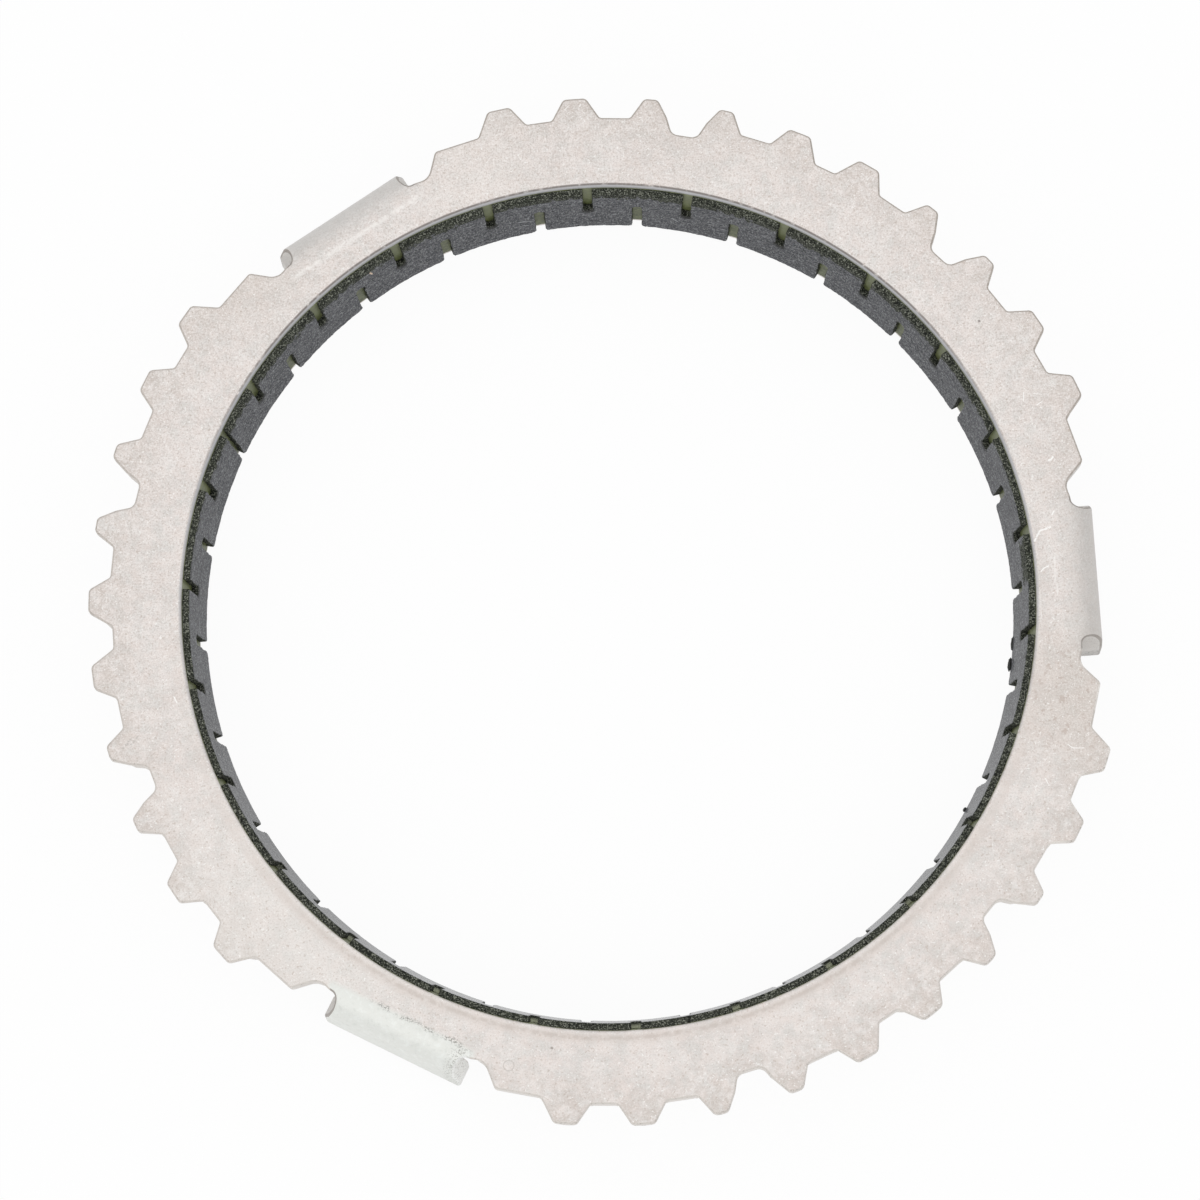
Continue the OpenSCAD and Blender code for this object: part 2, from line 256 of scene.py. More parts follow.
# Marks on the lining: scratches along the unrolled strip, lumps of glue on its back edge and one fibre
LINING_SCRATCHES = (
    (((69.9, 4.2), (68.5, 3.9)), 0.08),
    (((69.5, 3.15), (68.9, 2.8)), 0.06),
    (((54.5, 3.8), (53.9, 3.2)), 0.07),
)
GLUE_LUMPS = (
    (-7.6, 39.27, 0.62, (0.18, 0.75, 0.24)),
    (-10.6, 39.16, 0.6, (0.22, 0.66, 0.28)),
    (-13.0, 39.38, 0.62, (0.12, 0.3, 0.2)),
    (-32.5, 39.18, 0.6, (0.16, 0.26, 0.2)),
)
FIBRE_LINE = (((86.05, 8.5), (85.72, 8.75), (85.43, 7.5)), 0.17)

# Torn parts of the friction face: one patch from a direction to another down to a height; and a band along
# the front edge, deeper towards the upper side, that is partly fray and partly painted shade
TORN_PATCH = (-0.6, 4.9, 6.7)
FRAY_SHADE_DEPTH = 0.95
FRAY_SHADE_SIDE = (5, 30)
FRAY_SHADE_RISE = 0.1
TORN_SIDE_FUZZ = 0.4
TORN_FUZZ = 0.22

# Fineness of the meshes, and the room that inner points keep from outlines
OUTLINE_STEP = 0.45
ARC_TURN = math.radians(9)
RING_COLUMNS = 480
LINING_GRID = 0.55
LINING_ROW = 0.87
LINING_STEP = 0.24
LINING_EDGE_STEPS = 2
LINING_ROOM = 0.25
BEND_ROWS = 12
BEND_GRID = 0.6
BEND_ROOM = 0.3
CONE_STEP = 1.0
CONE_REACH = 2.65
ROOF_STEP = 0.06
ROOF_ROOM = 0.25
ROOF_SIDE_ROOM = 0.35
ROOF_COLUMNS = 13
RIDGE_INNER_ROOM = 0.15
RIDGE_OUTER_ROOM = 0.3
RIDGE_POINTS = 7
GLUE_ROWS = 24
LUMP_ROWS = 10
LUMP_COLUMNS = 16
SHARP_ANGLE = math.radians(32)
LEAST_SWEEP = 0.001
FOOT_ROUNDS = 8
END_MARGIN = 0.01
HOLE_SHARE = 0.9999
MERGE_DISTANCE = 1e-6
INSIDE_TRIANGLES = 1

# Values that follow from the sizes
MOUTH_RADIUS = CONE_DIAMETER / 2
ROOT_RADIUS = MOUTH_RADIUS + FLANGE_WIDTH
LOW_FLOOR = ROOT_RADIUS - LOW_FLOOR_DEPTH
DEEP_FLOOR = ROOT_RADIUS - DEEP_GAP_DEPTH
FLANGE_BACK = RING_HEIGHT - SHEET
RADIAL_WALL = CONE_WALL / math.cos(CONE_ANGLE)
THIRD = 360 / len(LUG_DIRECTIONS)
PITCH = THIRD / PITCHES_PER_THIRD
FIRST_TOOTH = THIRD / 2 - (TEETH_PER_THIRD - 1) / 2 * PITCH
HALF_PITCH = ROOT_RADIUS * math.tan(math.radians(PITCH / 2))
HALF_LUG = LUG_WIDTH / 2
LUG_FACE = ROOT_RADIUS - LUG_INSET
BEND_OUTSIDE = LUG_BEND + SHEET
BEND_START = LUG_FACE - BEND_OUTSIDE
BEND_HEIGHT = RING_HEIGHT - BEND_OUTSIDE
BEND_TURN = math.pi / 2 - LUG_LEAN
BEND_LENGTH = (LUG_BEND + SHEET / 2) * BEND_TURN
LUG_STRAIGHT = (BEND_HEIGHT + BEND_OUTSIDE * math.cos(BEND_TURN) - LUG_END_HEIGHT) / math.sin(BEND_TURN)
LUG_END = BEND_START + BEND_LENGTH + LUG_STRAIGHT
NOTCH_FLOOR = ROOT_RADIUS - NOTCH_DEPTH
NOTCH_CORNER = HALF_LUG + NOTCH_WIDTH
FLANGE_START = MOUTH_RADIUS + CONE_REACH
ROOF_LIMIT = SHEET - FRONT_ROUND - ROOF_ROOM
LINING_TOP = RING_HEIGHT - LINING_FRONT_INSET
LINING_BOTTOM = LINING_BACK_INSET
FRONT_SLOT_END = LINING_TOP - FRONT_SLOT_DEPTH
BACK_SLOT_END = LINING_BOTTOM + BACK_SLOT_DEPTH
UNROLL_RADIUS = MOUTH_RADIUS - LINING_THICKNESS
STRIP_LENGTH = 2 * math.pi * UNROLL_RADIUS
SLOT_PITCH = (STRIP_LENGTH - JOINT_ALLOWANCE) / FRONT_SLOTS

# Limits of masks that follow from the sizes: from where to where, or a middle, a half width and a fade
MOUTH_FRONT = (RING_HEIGHT - 0.6, RING_HEIGHT - 0.4)
FLAT_FRONT = (RING_HEIGHT - 0.3, RING_HEIGHT - 0.1)
PAST_PALE_CREASE = (BEND_START + 0.4, BEND_START + 0.9)
LUG_EDGE_START = (BEND_START + 0.2, BEND_START + 0.7)
LUG_LIGHT_SPAN = (0, HALF_LUG + 0.2, 0.5)
PALE_LUG_SPAN = (0, HALF_LUG + 0.2, 0.4)
LUG_EDGE_SPAN = (0, HALF_LUG + 0.1, 0.2)
FIRST_END_SPAN = (-HALF_LUG, 0.3, 0.2)
SLOT_END_SPAN = (FRONT_SLOT_END, 0.3, 0.15)

# Camera fitted to the photograph: turns about z, x and y, then distance and shift
IMAGE_SIZE = 1200
CAMERA_TURN_Z = math.radians(3.941)
CAMERA_TURN_X = math.radians(-9.567)
CAMERA_TURN_Y = math.radians(-0.815)
CAMERA_SHIFT = (0.822, -0.414)
CAMERA_DISTANCE = 570.027
CAMERA_FOCAL_PIXELS = 5938.06
CAMERA_AIM_HEIGHT = 9.0
CAMERA_CLIP = 10
SENSOR = 36

# Stage, with the key light's place and size in metres
FLOOR_HALF = 3000
FLOOR_GAP = 0.02
FLOOR_COLOUR = (0.9, 0.9, 0.9, 1)
FLOOR_WHITE = 0.94
WHITE = (1, 1, 1, 1)
HORIZON_COLOUR = (0.42, 0.45, 0.47, 1)
SKY_RISE = 0.6
KEY_PLACE = (-0.5, -0.9, 0.8)
KEY_SIZE = 0.8
KEY_POWER = 1.2


def axis(direction):
    """Unit vector in the ring's plane at a direction in degrees."""
    angle = math.radians(direction)
    return np.array([math.cos(angle), math.sin(angle)])


def unit(vector):
    return vector / np.linalg.norm(vector)


def local(flat, direction):
    """Distances of points along a direction and across it."""
    return flat @ axis(direction), flat @ axis(direction + 90)


def from_local(direction, along, across):
    return along * axis(direction) + across * axis(direction + 90)


def cone_inside(z):
    return MOUTH_RADIUS - (RING_HEIGHT - z) * math.tan(CONE_ANGLE)


def smooth(value):
    """Smooth step from 0 to 1 of a value from 0 to 1."""
    value = np.clip(value, 0, 1)
    return value * value * (3 - 2 * value)


# Outlines

def corner_arc(corner, before, after, radius):
    """Points and outward normals of the arc that rounds one corner of a counterclockwise outline."""
    half = 0.5 * math.acos(np.clip(before @ after, -1, 1))
    sweep = math.pi - 2 * half
    if radius == 0 or sweep < LEAST_SWEEP:
        tangent = unit(after - before)
        return [corner], [np.array([tangent[1], -tangent[0]])]
    convex = -np.sign(before[0] * after[1] - before[1] * after[0])
    centre = corner + unit(before + after) * radius / math.sin(half)
    start = corner + before * radius / math.tan(half) - centre
    first = math.atan2(start[1], start[0])
    steps = max(2, math.ceil(sweep / ARC_TURN))
    turns = [first + convex * sweep * k / steps for k in range(steps + 1)]
    spokes = [np.array([math.cos(turn), math.sin(turn)]) for turn in turns]
    return [centre + radius * spoke for spoke in spokes], [convex * spoke for spoke in spokes]


def rounded(corners, step):
    """Points and outward normals of a closed outline with corners (x, y, radius), long sides divided."""
    spots = [np.array(corner[:2], float) for corner in corners]
    count = len(spots)
    arcs = []
    for i, spot in enumerate(spots):
        before = unit(spots[i - 1] - spot)
        after = unit(spots[(i + 1) % count] - spot)
        arcs.append(corner_arc(spot, before, after, corners[i][2]))
    points = []
    normals = []
    for i, (arc, arc_normals) in enumerate(arcs):
        points += arc
        normals += arc_normals
        side = arcs[(i + 1) % count][0][0] - arc[-1]
        length = np.linalg.norm(side)
        pieces = max(1, math.ceil(length / step))
        for k in range(1, pieces):
            points.append(arc[-1] + side * k / pieces)
            normals.append(np.array([side[1], -side[0]]) / length)
    return np.array(points), np.array(normals)


def crossing(point, direction, other, other_direction):
    """Point where two lines cross."""
    solved = np.linalg.solve(np.column_stack([direction, -other_direction]), other - point)
    return point + direction * solved[0]


def beside_deep_gap(tooth):
    from_end = min(tooth, TEETH_PER_THIRD - 1 - tooth)
    return from_end in (TEETH_BEFORE_DEEP_GAP - 1, TEETH_BEFORE_DEEP_GAP)


def deep_gap_after(tooth):
    return tooth + 1 in (TEETH_BEFORE_DEEP_GAP, TEETH_PER_THIRD - TEETH_BEFORE_DEEP_GAP)


def floor_after(tooth):
    """Radius of the floor between a tooth and the next one."""
    at_end = tooth in (-1, TEETH_PER_THIRD - 1)
    in_middle = 2 * (tooth + 1) == TEETH_PER_THIRD
    return LOW_FLOOR if at_end or in_middle else ROOT_RADIUS


def tooth_half(tooth, along):
    """Half width of a tooth at a distance from the ring's axis."""
    tip = NARROW_TIP if beside_deep_gap(tooth) else WIDE_TIP
    return tip / 2 + (TIP_RADIUS - along) * math.tan(FLANK_ANGLE)


def foot_on_floor(tooth, floor):
    """Place along a tooth where its flank meets a round floor."""
    along = floor
    for _ in range(FOOT_ROUNDS):
        along = math.sqrt(floor**2 - tooth_half(tooth, along)**2)
    return along


def tooth_foot(direction, tooth, side):
    """Corners at one foot of a tooth, from the flank into the gap: side -1 is before it, 1 after it."""
    gap = tooth if side > 0 else tooth - 1
    if not deep_gap_after(gap):
        along = foot_on_floor(tooth, floor_after(gap))
        half = tooth_half(tooth, along)
        return [(*from_local(direction, along, side * half), ROOT_ROUND)]
    gap_direction = direction + side * PITCH / 2
    wall = from_local(gap_direction, DEEP_FLOOR, -side * DEEP_GAP_WIDTH / 2)
    rise = from_local(gap_direction, math.cos(DEEP_GAP_ANGLE), -side * math.sin(DEEP_GAP_ANGLE))
    tip = from_local(direction, TIP_RADIUS, side * tooth_half(tooth, TIP_RADIUS))
    flank = from_local(direction, -1, side * math.tan(FLANK_ANGLE))
    shoulder = crossing(tip, flank, wall, rise)
    return [(*shoulder, GAP_SHOULDER_ROUND), (*wall, DEEP_GAP_ROUND)]


def tooth_corners(direction, tooth):
    half = tooth_half(tooth, TIP_RADIUS)
    before = tooth_foot(direction, tooth, -1)
    after = tooth_foot(direction, tooth, 1)
    tips = [(*from_local(direction, TIP_RADIUS, side * half), TIP_ROUND) for side in (-1, 1)]
    return before[::-1] + tips + after


def lug_half(trim):
    """Corners of one side of a lug's blank with the notch beside it, as (along, across, rounding)."""
    notch = np.array([NOTCH_FLOOR, NOTCH_CORNER])
    up = np.array([math.cos(NOTCH_ANGLE), math.sin(NOTCH_ANGLE)])
    ahead = notch @ up
    lip = notch + up * (math.sqrt(ahead**2 - notch @ notch + LOW_FLOOR**2) - ahead)
    side = HALF_LUG - trim
    return [
        (*lip, NOTCH_LIP_ROUND),
        (*notch, NOTCH_ROUND),
        (NOTCH_FLOOR, side - LUG_FOOT_INSET, LUG_FOOT_ROUND),
        (BEND_START + WAIST_TRAVEL, side - WAIST_INSET, WAIST_ROUND),
        (BEND_START + WAIST_END, side, WAIST_END_ROUND),
        (LUG_END, side, LUG_CORNER),
    ]


def lug_corners(direction, trim):
    """Corners of a lug's flat blank, which is trimmed on its first side."""
    first = [(along, -across, radius) for along, across, radius in lug_half(trim)]
    sides = first + lug_half(0)[::-1]
    return [(*from_local(direction, along, across), radius) for along, across, radius in sides]


def teeth_after(lug):
    """Direction and number of each tooth between a lug and the next one."""
    return [(lug + FIRST_TOOTH + tooth * PITCH, tooth) for tooth in range(TEETH_PER_THIRD)]


def all_teeth():
    return [tooth for lug in LUG_DIRECTIONS for tooth in teeth_after(lug)]


def blank_corners():
    """Corners of the whole flat blank, counterclockwise."""
    corners = []
    for lug, trim in zip(LUG_DIRECTIONS, LUG_TRIMS):
        corners += lug_corners(lug, trim)
        for direction, tooth in teeth_after(lug):
            corners += tooth_corners(direction, tooth)
    return corners


def slot_corners(middle, width, mouth, end, corner):
    """Corners of a slot from its mouth to its round end and back; a width below 0 runs the other way."""
    before = middle - width / 2
    after = middle + width / 2
    end_round = SLOT_END_ROUND * abs(width)
    return [
        (before, mouth, corner),
        (before, end, end_round),
        (after, end, end_round),
        (after, mouth, corner),
    ]


def lining_corners():
    """Corners of the unrolled lining (along the strip, height), counterclockwise."""
    first = JOINT_GAP / 2
    last = STRIP_LENGTH - JOINT_GAP / 2
    start = JOINT_ALLOWANCE / 2
    corners = [(first, LINING_BOTTOM, LINING_CORNER)]
    for slot in range(1, FRONT_SLOTS):
        middle = start + slot * SLOT_PITCH
        corners += slot_corners(middle, BACK_SLOT_WIDTH, LINING_BOTTOM, BACK_SLOT_END, LINING_CORNER)
    corners += [(last, LINING_BOTTOM, LINING_CORNER), (last, LINING_TOP, LINING_FRONT_CORNER)]
    for slot in reversed(range(FRONT_SLOTS)):
        middle = start + (slot + 0.5) * SLOT_PITCH
        corners += slot_corners(middle, -FRONT_SLOT_WIDTH, LINING_TOP, FRONT_SLOT_END, LINING_FRONT_CORNER)
    return corners + [(first, LINING_TOP, LINING_FRONT_CORNER)]


# Meshes

class Draft:
    """A mesh while it is built: points in millimetres, faces and the material number of each face."""

    def __init__(self):
        self.points = []
        self.faces = []
        self.kinds = []

    def add(self, points):
        start = len(self.points)
        self.points.extend(points)
        return list(range(start, start + len(points)))

    def face(self, corners, kind):
        self.faces.append(corners)
        self.kinds.append(kind)

    def strip(self, lower, upper, kind):
        """Closed band of quads between two rows, seen with the lower row running to the right."""
        count = len(lower)
        for i in range(count):
            j = (i + 1) % count
            self.face((lower[i], lower[j], upper[j], upper[i]), kind)

    def object(self, name, materials):
        mesh = bpy.data.meshes.new(name)
        points = np.array(self.points) * MM
        mesh.from_pydata(points.tolist(), [], self.faces)
        for material in materials:
            mesh.materials.append(material)
        mesh.polygons.foreach_set("material_index", self.kinds)
        mesh.polygons.foreach_set("use_smooth", [True] * len(self.faces))
        mesh.set_sharp_from_angle(angle=SHARP_ANGLE)
        piece = bpy.data.objects.new(name, mesh)
        bpy.context.scene.collection.objects.link(piece)
        return piece


def edge_profile(radius, steps):
    """Inset and depth of the rows of a rounded edge, from the wall in to the face and a little past it."""
    turns = [math.pi / 2 * k / steps for k in range(steps + 1)]
    rows = [(radius * (1 - math.cos(turn)), radius * (1 - math.sin(turn))) for turn in turns]
    return rows + [(radius + EDGE_SUPPORT, 0)]


def triangulated(outer, hole, extra, lines=()):
    """Triangles of the region inside an outline, less a round hole: indexes into outer, hole and extra."""
    points = [tuple(point) for part in (outer, hole, extra) for point in part]
    edges = loop_edges(0, len(outer)) + loop_edges(len(outer), len(hole))
    base = len(outer) + len(hole)
    edges += [(base + a, base + b) for a, b in lines]
    made, _, faces, origins, _, _ = delaunay_2d_cdt(points, edges, [], INSIDE_TRIANGLES, MERGE_DISTANCE)
    hole_radius = np.linalg.norm(hole[0]) * HOLE_SHARE if len(hole) else 0
    kept = []
    for face in faces:
        middle = sum((made[k] for k in face), made[face[0]] * 0) / len(face)
        if middle.length < hole_radius and len(hole):
            continue
        if all(origins[k] for k in face):
            kept.append(tuple(origins[k][0] for k in face))
    return kept


def loop_edges(start, count):
    return [(start + k, start + (k + 1) % count) for k in range(count)]


def clear_of(candidates, outline, room):
    """Those of the candidate points that stay at least a room away from the points of an outline."""
    tree = KDTree(len(outline))
    for i, point in enumerate(outline):
        tree.insert((*point, 0), i)
    tree.balance()
    return np.array([point for point in candidates if tree.find((*point, 0))[2] > room]).reshape(-1, 2)


def plate_face(draft, rows, hole, hole_ids, extra, place, kind, flipped=False, lines=()):
    """Fills a plate's face inside its last edge row, with a hole and extra points."""
    outer, outer_ids = rows[-1]
    triangles = triangulated(outer, hole, extra, lines)
    base = len(outer) + len(hole)
    used = sorted({k - base for triangle in triangles for k in triangle if k >= base})
    ids = dict(enumerate(outer_ids + hole_ids))
    ids.update(zip([base + k for k in used], draft.add(place(extra[used]))))
    for triangle in triangles:
        corners = tuple(ids[k] for k in triangle)
        draft.face(corners[::-1] if flipped else corners, kind)


def edge_rows(draft, outline, normals, profile, place, share=1.0):
    """Rows of a plate's rounded edge: the flat points of each and their numbers in the draft."""
    share = np.broadcast_to(share, len(outline))[:, None]
    rows = []
    for inset, depth in profile:
        flat = outline - normals * inset * share
        rows.append((flat, draft.add(place(flat, depth))))
    return rows


def spokes():
    """Unit vectors to the columns of a round mesh."""
    turns = np.linspace(0, 2 * math.pi, RING_COLUMNS, endpoint=False)
    return np.column_stack([np.cos(turns), np.sin(turns)])


def ring_row(radius, height):
    """Points of a round row at a height, with one radius or one for each column."""
    radius = np.broadcast_to(radius, RING_COLUMNS)[:, None]
    return np.column_stack([spokes() * radius, np.full(RING_COLUMNS, height)])


# Steel ring

def place_blank(flat, depth=0):
    """Places points of the flat blank, at depths below its front, on the pressed ring."""
    flat = np.asarray(flat, float).reshape(-1, 2)
    depth = np.broadcast_to(depth, len(flat))
    placed = np.column_stack([flat, RING_HEIGHT - depth])
    for direction in LUG_DIRECTIONS:
        along, across = local(flat, direction)
        travel = along - BEND_START
        hold = 1 - smooth((np.abs(across) - HALF_LUG) / BEND_FADE)
        turn = np.clip(travel / BEND_LENGTH, 0, 1) * BEND_TURN
        straight = np.maximum(travel - BEND_LENGTH, 0)
        radius = BEND_OUTSIDE - depth
        out = BEND_START + radius * np.sin(turn) + straight * math.cos(BEND_TURN)
        up = BEND_HEIGHT + radius * np.cos(turn) - straight * math.sin(BEND_TURN)
        bent = (travel > 0) & (hold > 0)
        shift = (hold * (out - along))[bent]
        placed[bent, :2] += shift[:, None] * axis(direction)
        placed[bent, 2] += (hold * (up - (RING_HEIGHT - depth)))[bent]
    return placed


def roof_rise(flat):
    """Height of the blocking chamfers above the flange's back at points of the blank."""
    flat = np.asarray(flat, float).reshape(-1, 2)
    rise = np.zeros(len(flat))
    for direction, _ in all_teeth():
        along, across = local(flat, direction)
        step = np.clip((along - ROOT_RADIUS) / ROOF_STEP, 0, 1)
        on_tooth = (step > 0) & (np.abs(across) < HALF_PITCH)
        roof = np.minimum(RIDGE_INSET + np.abs(across) * math.tan(BLOCKING_ANGLE), ROOF_LIMIT)
        rise[on_tooth] = (step * roof)[on_tooth]
    return rise


def place_back(flat, depth=0):
    return place_blank(flat, SHEET - roof_rise(flat) - depth)


def bend_points():
    """Points over the bend of each lug, so that it is round."""
    spots = []
    half = HALF_LUG + BEND_FADE
    for direction in LUG_DIRECTIONS:
        for travel in np.linspace(0, BEND_LENGTH, BEND_ROWS):
            for across in np.arange(-half, half + END_MARGIN, BEND_GRID):
                spots.append(from_local(direction, BEND_START + travel, across))
    return spots


def roof_points():
    """Points along the foot and the ridge of each tooth's blocking chamfers, and the lines through them."""
    spots = []
    lines = []

    def add_line(points):
        start = len(spots)
        spots.extend(points)
        lines.extend((start + k, start + k + 1) for k in range(len(points) - 1))

    top = ROOT_RADIUS + ROOF_STEP
    ridge = np.linspace(top + RIDGE_INNER_ROOM, TIP_RADIUS - RIDGE_OUTER_ROOM, RIDGE_POINTS)
    for direction, tooth in all_teeth():
        half = tooth_half(tooth, ROOT_RADIUS) - ROOF_SIDE_ROOM
        row = np.linspace(-half, half, ROOF_COLUMNS)
        for along in (ROOT_RADIUS, top):
            add_line([from_local(direction, along, across) for across in row])
        add_line([from_local(direction, along, 0) for along in ridge])
    return np.array(spots), lines


def cone_profile():
    """Section of the cone from the flange's front to its back, as points (radius, height)."""
    corners = [
        (FLANGE_START, FLANGE_BACK, 0),
        (FLANGE_START, RING_HEIGHT, 0),
        (MOUTH_RADIUS, RING_HEIGHT, MOUTH_ROUND),
        (cone_inside(0), 0, END_ROUND),
        (cone_inside(0) + RADIAL_WALL, 0, END_ROUND),
        (cone_inside(FLANGE_BACK) + RADIAL_WALL, FLANGE_BACK, NECK_FILLET),
    ]
    points, _ = rounded(corners, CONE_STEP)
    start = int(np.argmin(np.linalg.norm(points - np.array(corners[1][:2]), axis=1)))
    return points[start:]


def ring_body_draft():
    draft = Draft()
    outline, normals = rounded(blank_corners(), OUTLINE_STEP)
    front = edge_rows(draft, outline, normals, edge_profile(FRONT_ROUND, EDGE_STEPS), place_blank)
    back = edge_rows(draft, outline, normals, edge_profile(BACK_ROUND, 1), place_back)
    for number, (outer, inner) in enumerate(zip(front, front[1:])):
        draft.strip(outer[1], inner[1], ROLLED if number < ROLLED_STRIPS else SHEET_FACE)
    for outer, inner in zip(back, back[1:]):
        draft.strip(inner[1], outer[1], SHEARED)
    draft.strip(back[0][1], front[0][1], SHEARED)

    circle = spokes() * FLANGE_START
    front_circle = draft.add(place_blank(circle, 0))
    back_circle = draft.add(place_blank(circle, SHEET))
    bends = clear_of(bend_points(), np.vstack([front[-1][0], circle]), BEND_ROOM)
    plate_face(draft, front, circle, front_circle, bends, place_blank, SHEET_FACE)
    roofs, roof_lines = roof_points()
    extra = np.vstack([roofs, bends])
    plate_face(draft, back, circle, back_circle, extra, place_back, SHEET_FACE, True, roof_lines)

    walls = [draft.add(ring_row(radius, height)) for radius, height in cone_profile()[1:]]
    rows = [front_circle, *walls, back_circle]
    for upper, lower in zip(rows, rows[1:]):
        draft.strip(upper, lower, SHEET_FACE)
    return draft


# Friction lining

def place_lining(flat, depth=0):
    """Places points of the unrolled lining, at depths below its friction face, on the cone."""
    flat = np.asarray(flat, float).reshape(-1, 2)
    above_glue = LINING_THICKNESS - np.broadcast_to(depth, len(flat))
    glued = cone_inside(flat[:, 1]) - GLUE_LINE / math.cos(CONE_ANGLE)
    radius = glued - above_glue * math.cos(CONE_ANGLE)
    turn = math.radians(JOINT_DIRECTION) - flat[:, 0] / UNROLL_RADIUS
    height = flat[:, 1] + above_glue * math.sin(CONE_ANGLE)
    return np.column_stack([radius * np.cos(turn), radius * np.sin(turn), height])


def place_lining_back(flat):
    return place_lining(flat, LINING_THICKNESS)


def frayed(outline, normals):
    """Outline with the small unevenness of a cut through a fibrous sheet."""
    draws = np.random.RandomState(FRAY_SEED).normal(size=len(outline))
    soft = FRAY_SHARES[0] * draws + FRAY_SHARES[1] * np.roll(draws, 1)
    return outline + normals * np.clip(soft * LINING_RAGGED, *FRAY_LIMITS)[:, None]


def lining_grid():
    """Points over the unrolled lining, in rows that are set off by half a step in turn."""
    columns = np.arange(0, STRIP_LENGTH, LINING_GRID)
    spots = []
    for row, height in enumerate(np.arange(LINING_BOTTOM, LINING_TOP, LINING_GRID * LINING_ROW)):
        shift = (row % 2) * LINING_GRID / 2
        spots += [(column + shift, height) for column in columns]
    return spots


def lining_draft():
    draft = Draft()
    outline, normals = rounded(lining_corners(), LINING_STEP)
    outline = frayed(outline, normals)
    share = np.random.RandomState(EDGE_SEED).uniform(*EDGE_SHARES, len(outline))
    profile = edge_profile(LINING_EDGE_ROUND, LINING_EDGE_STEPS)
    front = edge_rows(draft, outline, normals, profile, place_lining, share)
    back = edge_rows(draft, outline, normals, [(0, LINING_THICKNESS)], place_lining)
    for number, (outer, inner) in enumerate(zip(front, front[1:])):
        draft.strip(outer[1], inner[1], CUT_EDGE if number == 0 else FRICTION_FACE)
    draft.strip(back[0][1], front[0][1], CUT_EDGE)
    grid = clear_of(lining_grid(), front[-1][0], LINING_ROOM)
    none = np.zeros((0, 2))
    plate_face(draft, front, none, [], grid, place_lining, FRICTION_FACE)
    tear_and_shade(draft)
    plate_face(draft, back, none, [], grid, place_lining_back, CUT_EDGE, True)
    return draft


def tear_and_shade(draft):
    """Gives the look of a cut edge to the torn parts of the friction face, and to a band along the front edge
    that is partly fray and partly painted shade.
    """
    draws = np.random.RandomState(TEAR_SEED).normal(size=len(draft.faces))
    points = np.array(draft.points)
    first, last, low = TORN_PATCH
    near, far = FRAY_SHADE_SIDE
    for number, face in enumerate(draft.faces):
        x, y, z = points[list(face)].mean(axis=0)
        limit = LINING_TOP - FRAY_SHADE_DEPTH * smooth((y - near) / (far - near)) + FRAY_SHADE_RISE
        if first < math.degrees(math.atan2(y, x)) + TORN_SIDE_FUZZ * draws[number] < last:
            limit = low
        if z > limit + TORN_FUZZ * draws[number]:
            draft.kinds[number] = CUT_EDGE


def glue_draft():
    """Film of glue between the steel and the lining, which shows in the slots."""
    draft = Draft()
    heights = np.linspace(LINING_BOTTOM + GLUE_BACK_INSET, LINING_TOP + GLUE_FRONT_RISE, GLUE_ROWS)
    bumps = np.random.RandomState(GLUE_SEED).uniform(0, 1, size=(len(heights), RING_COLUMNS))
    inner = []
    outer = []
    for row, height in enumerate(heights):
        wall = cone_inside(height)
        inner.append(draft.add(ring_row(wall - GLUE_LEAST - GLUE_BUMPS * bumps[row], height)))
        outer.append(draft.add(ring_row(wall - GLUE_BEHIND, height)))
    for lower, upper in zip(inner, inner[1:]):
        draft.strip(upper, lower, FILM)
    for lower, upper in zip(outer, outer[1:]):
        draft.strip(lower, upper, FILM)
    draft.strip(outer[-1], inner[-1], FILM)
    draft.strip(inner[0], outer[0], FILM)
    for seed, lump in enumerate(GLUE_LUMPS):
        add_lump(draft, *lump, seed)
    return draft


def add_lump(draft, direction, radius, height, size, seed):
    """Closed uneven lump, whose half lengths are out from the axis, round it and up."""
    draws = np.random.RandomState(seed)
    out = np.array([*axis(direction), 0])
    round_about = np.array([*axis(direction + 90), 0])
    middle = radius * out + np.array([0, 0, height])
    turns = np.linspace(0, 2 * math.pi, LUMP_COLUMNS, endpoint=False)
    rows = []
    for polar in np.linspace(0, math.pi, LUMP_ROWS)[1:-1]:
        reach = draws.uniform(*LUMP_REACH, len(turns)) * math.sin(polar)
        points = middle + np.outer(reach * np.cos(turns) * size[0], out)
        points += np.outer(reach * np.sin(turns) * size[1], round_about)
        points[:, 2] += math.cos(polar) * size[2]
        rows.append(draft.add(points))
    top, bottom = draft.add([middle + [0, 0, size[2]], middle - [0, 0, size[2]]])
    for upper, lower in zip(rows, rows[1:]):
        draft.strip(lower, upper, LUMP)
    for i in range(len(turns)):
        j = (i + 1) % len(turns)
        draft.face((rows[0][i], rows[0][j], top), LUMP)
        draft.face((rows[-1][j], rows[-1][i], bottom), LUMP)


# Materials

def srgb(red, green, blue):
    """Linear colour of a screen colour from 0 to 255."""
    def linear(value):
        value = value / 255
        return value / 12.92 if value <= 0.04045 else ((value + 0.055) / 1.055) ** 2.4
    return (linear(red), linear(green), linear(blue), 1)


def connect(tree, source, target):
    """Links an output to an input, or sets the input to a plain value."""
    if hasattr(source, "links"):
        tree.links.new(source, target)
    else:
        target.default_value = source


def wired(tree, kind, *sources, operation=None):
    """New node of a kind, whose inputs take outputs or plain values in their order."""
    node = tree.nodes.new(kind)
    if operation:
        node.operation = operation
    for source, target in zip(sources, node.inputs):
        connect(tree, source, target)
    return node


def mixed(tree, factor, first, second):
    """Colour between two colours."""
    node = tree.nodes.new("ShaderNodeMix")
    node.data_type = "RGBA"
    for number, source in ((0, factor), (6, first), (7, second)):
        connect(tree, source, node.inputs[number])
    return node.outputs[2]


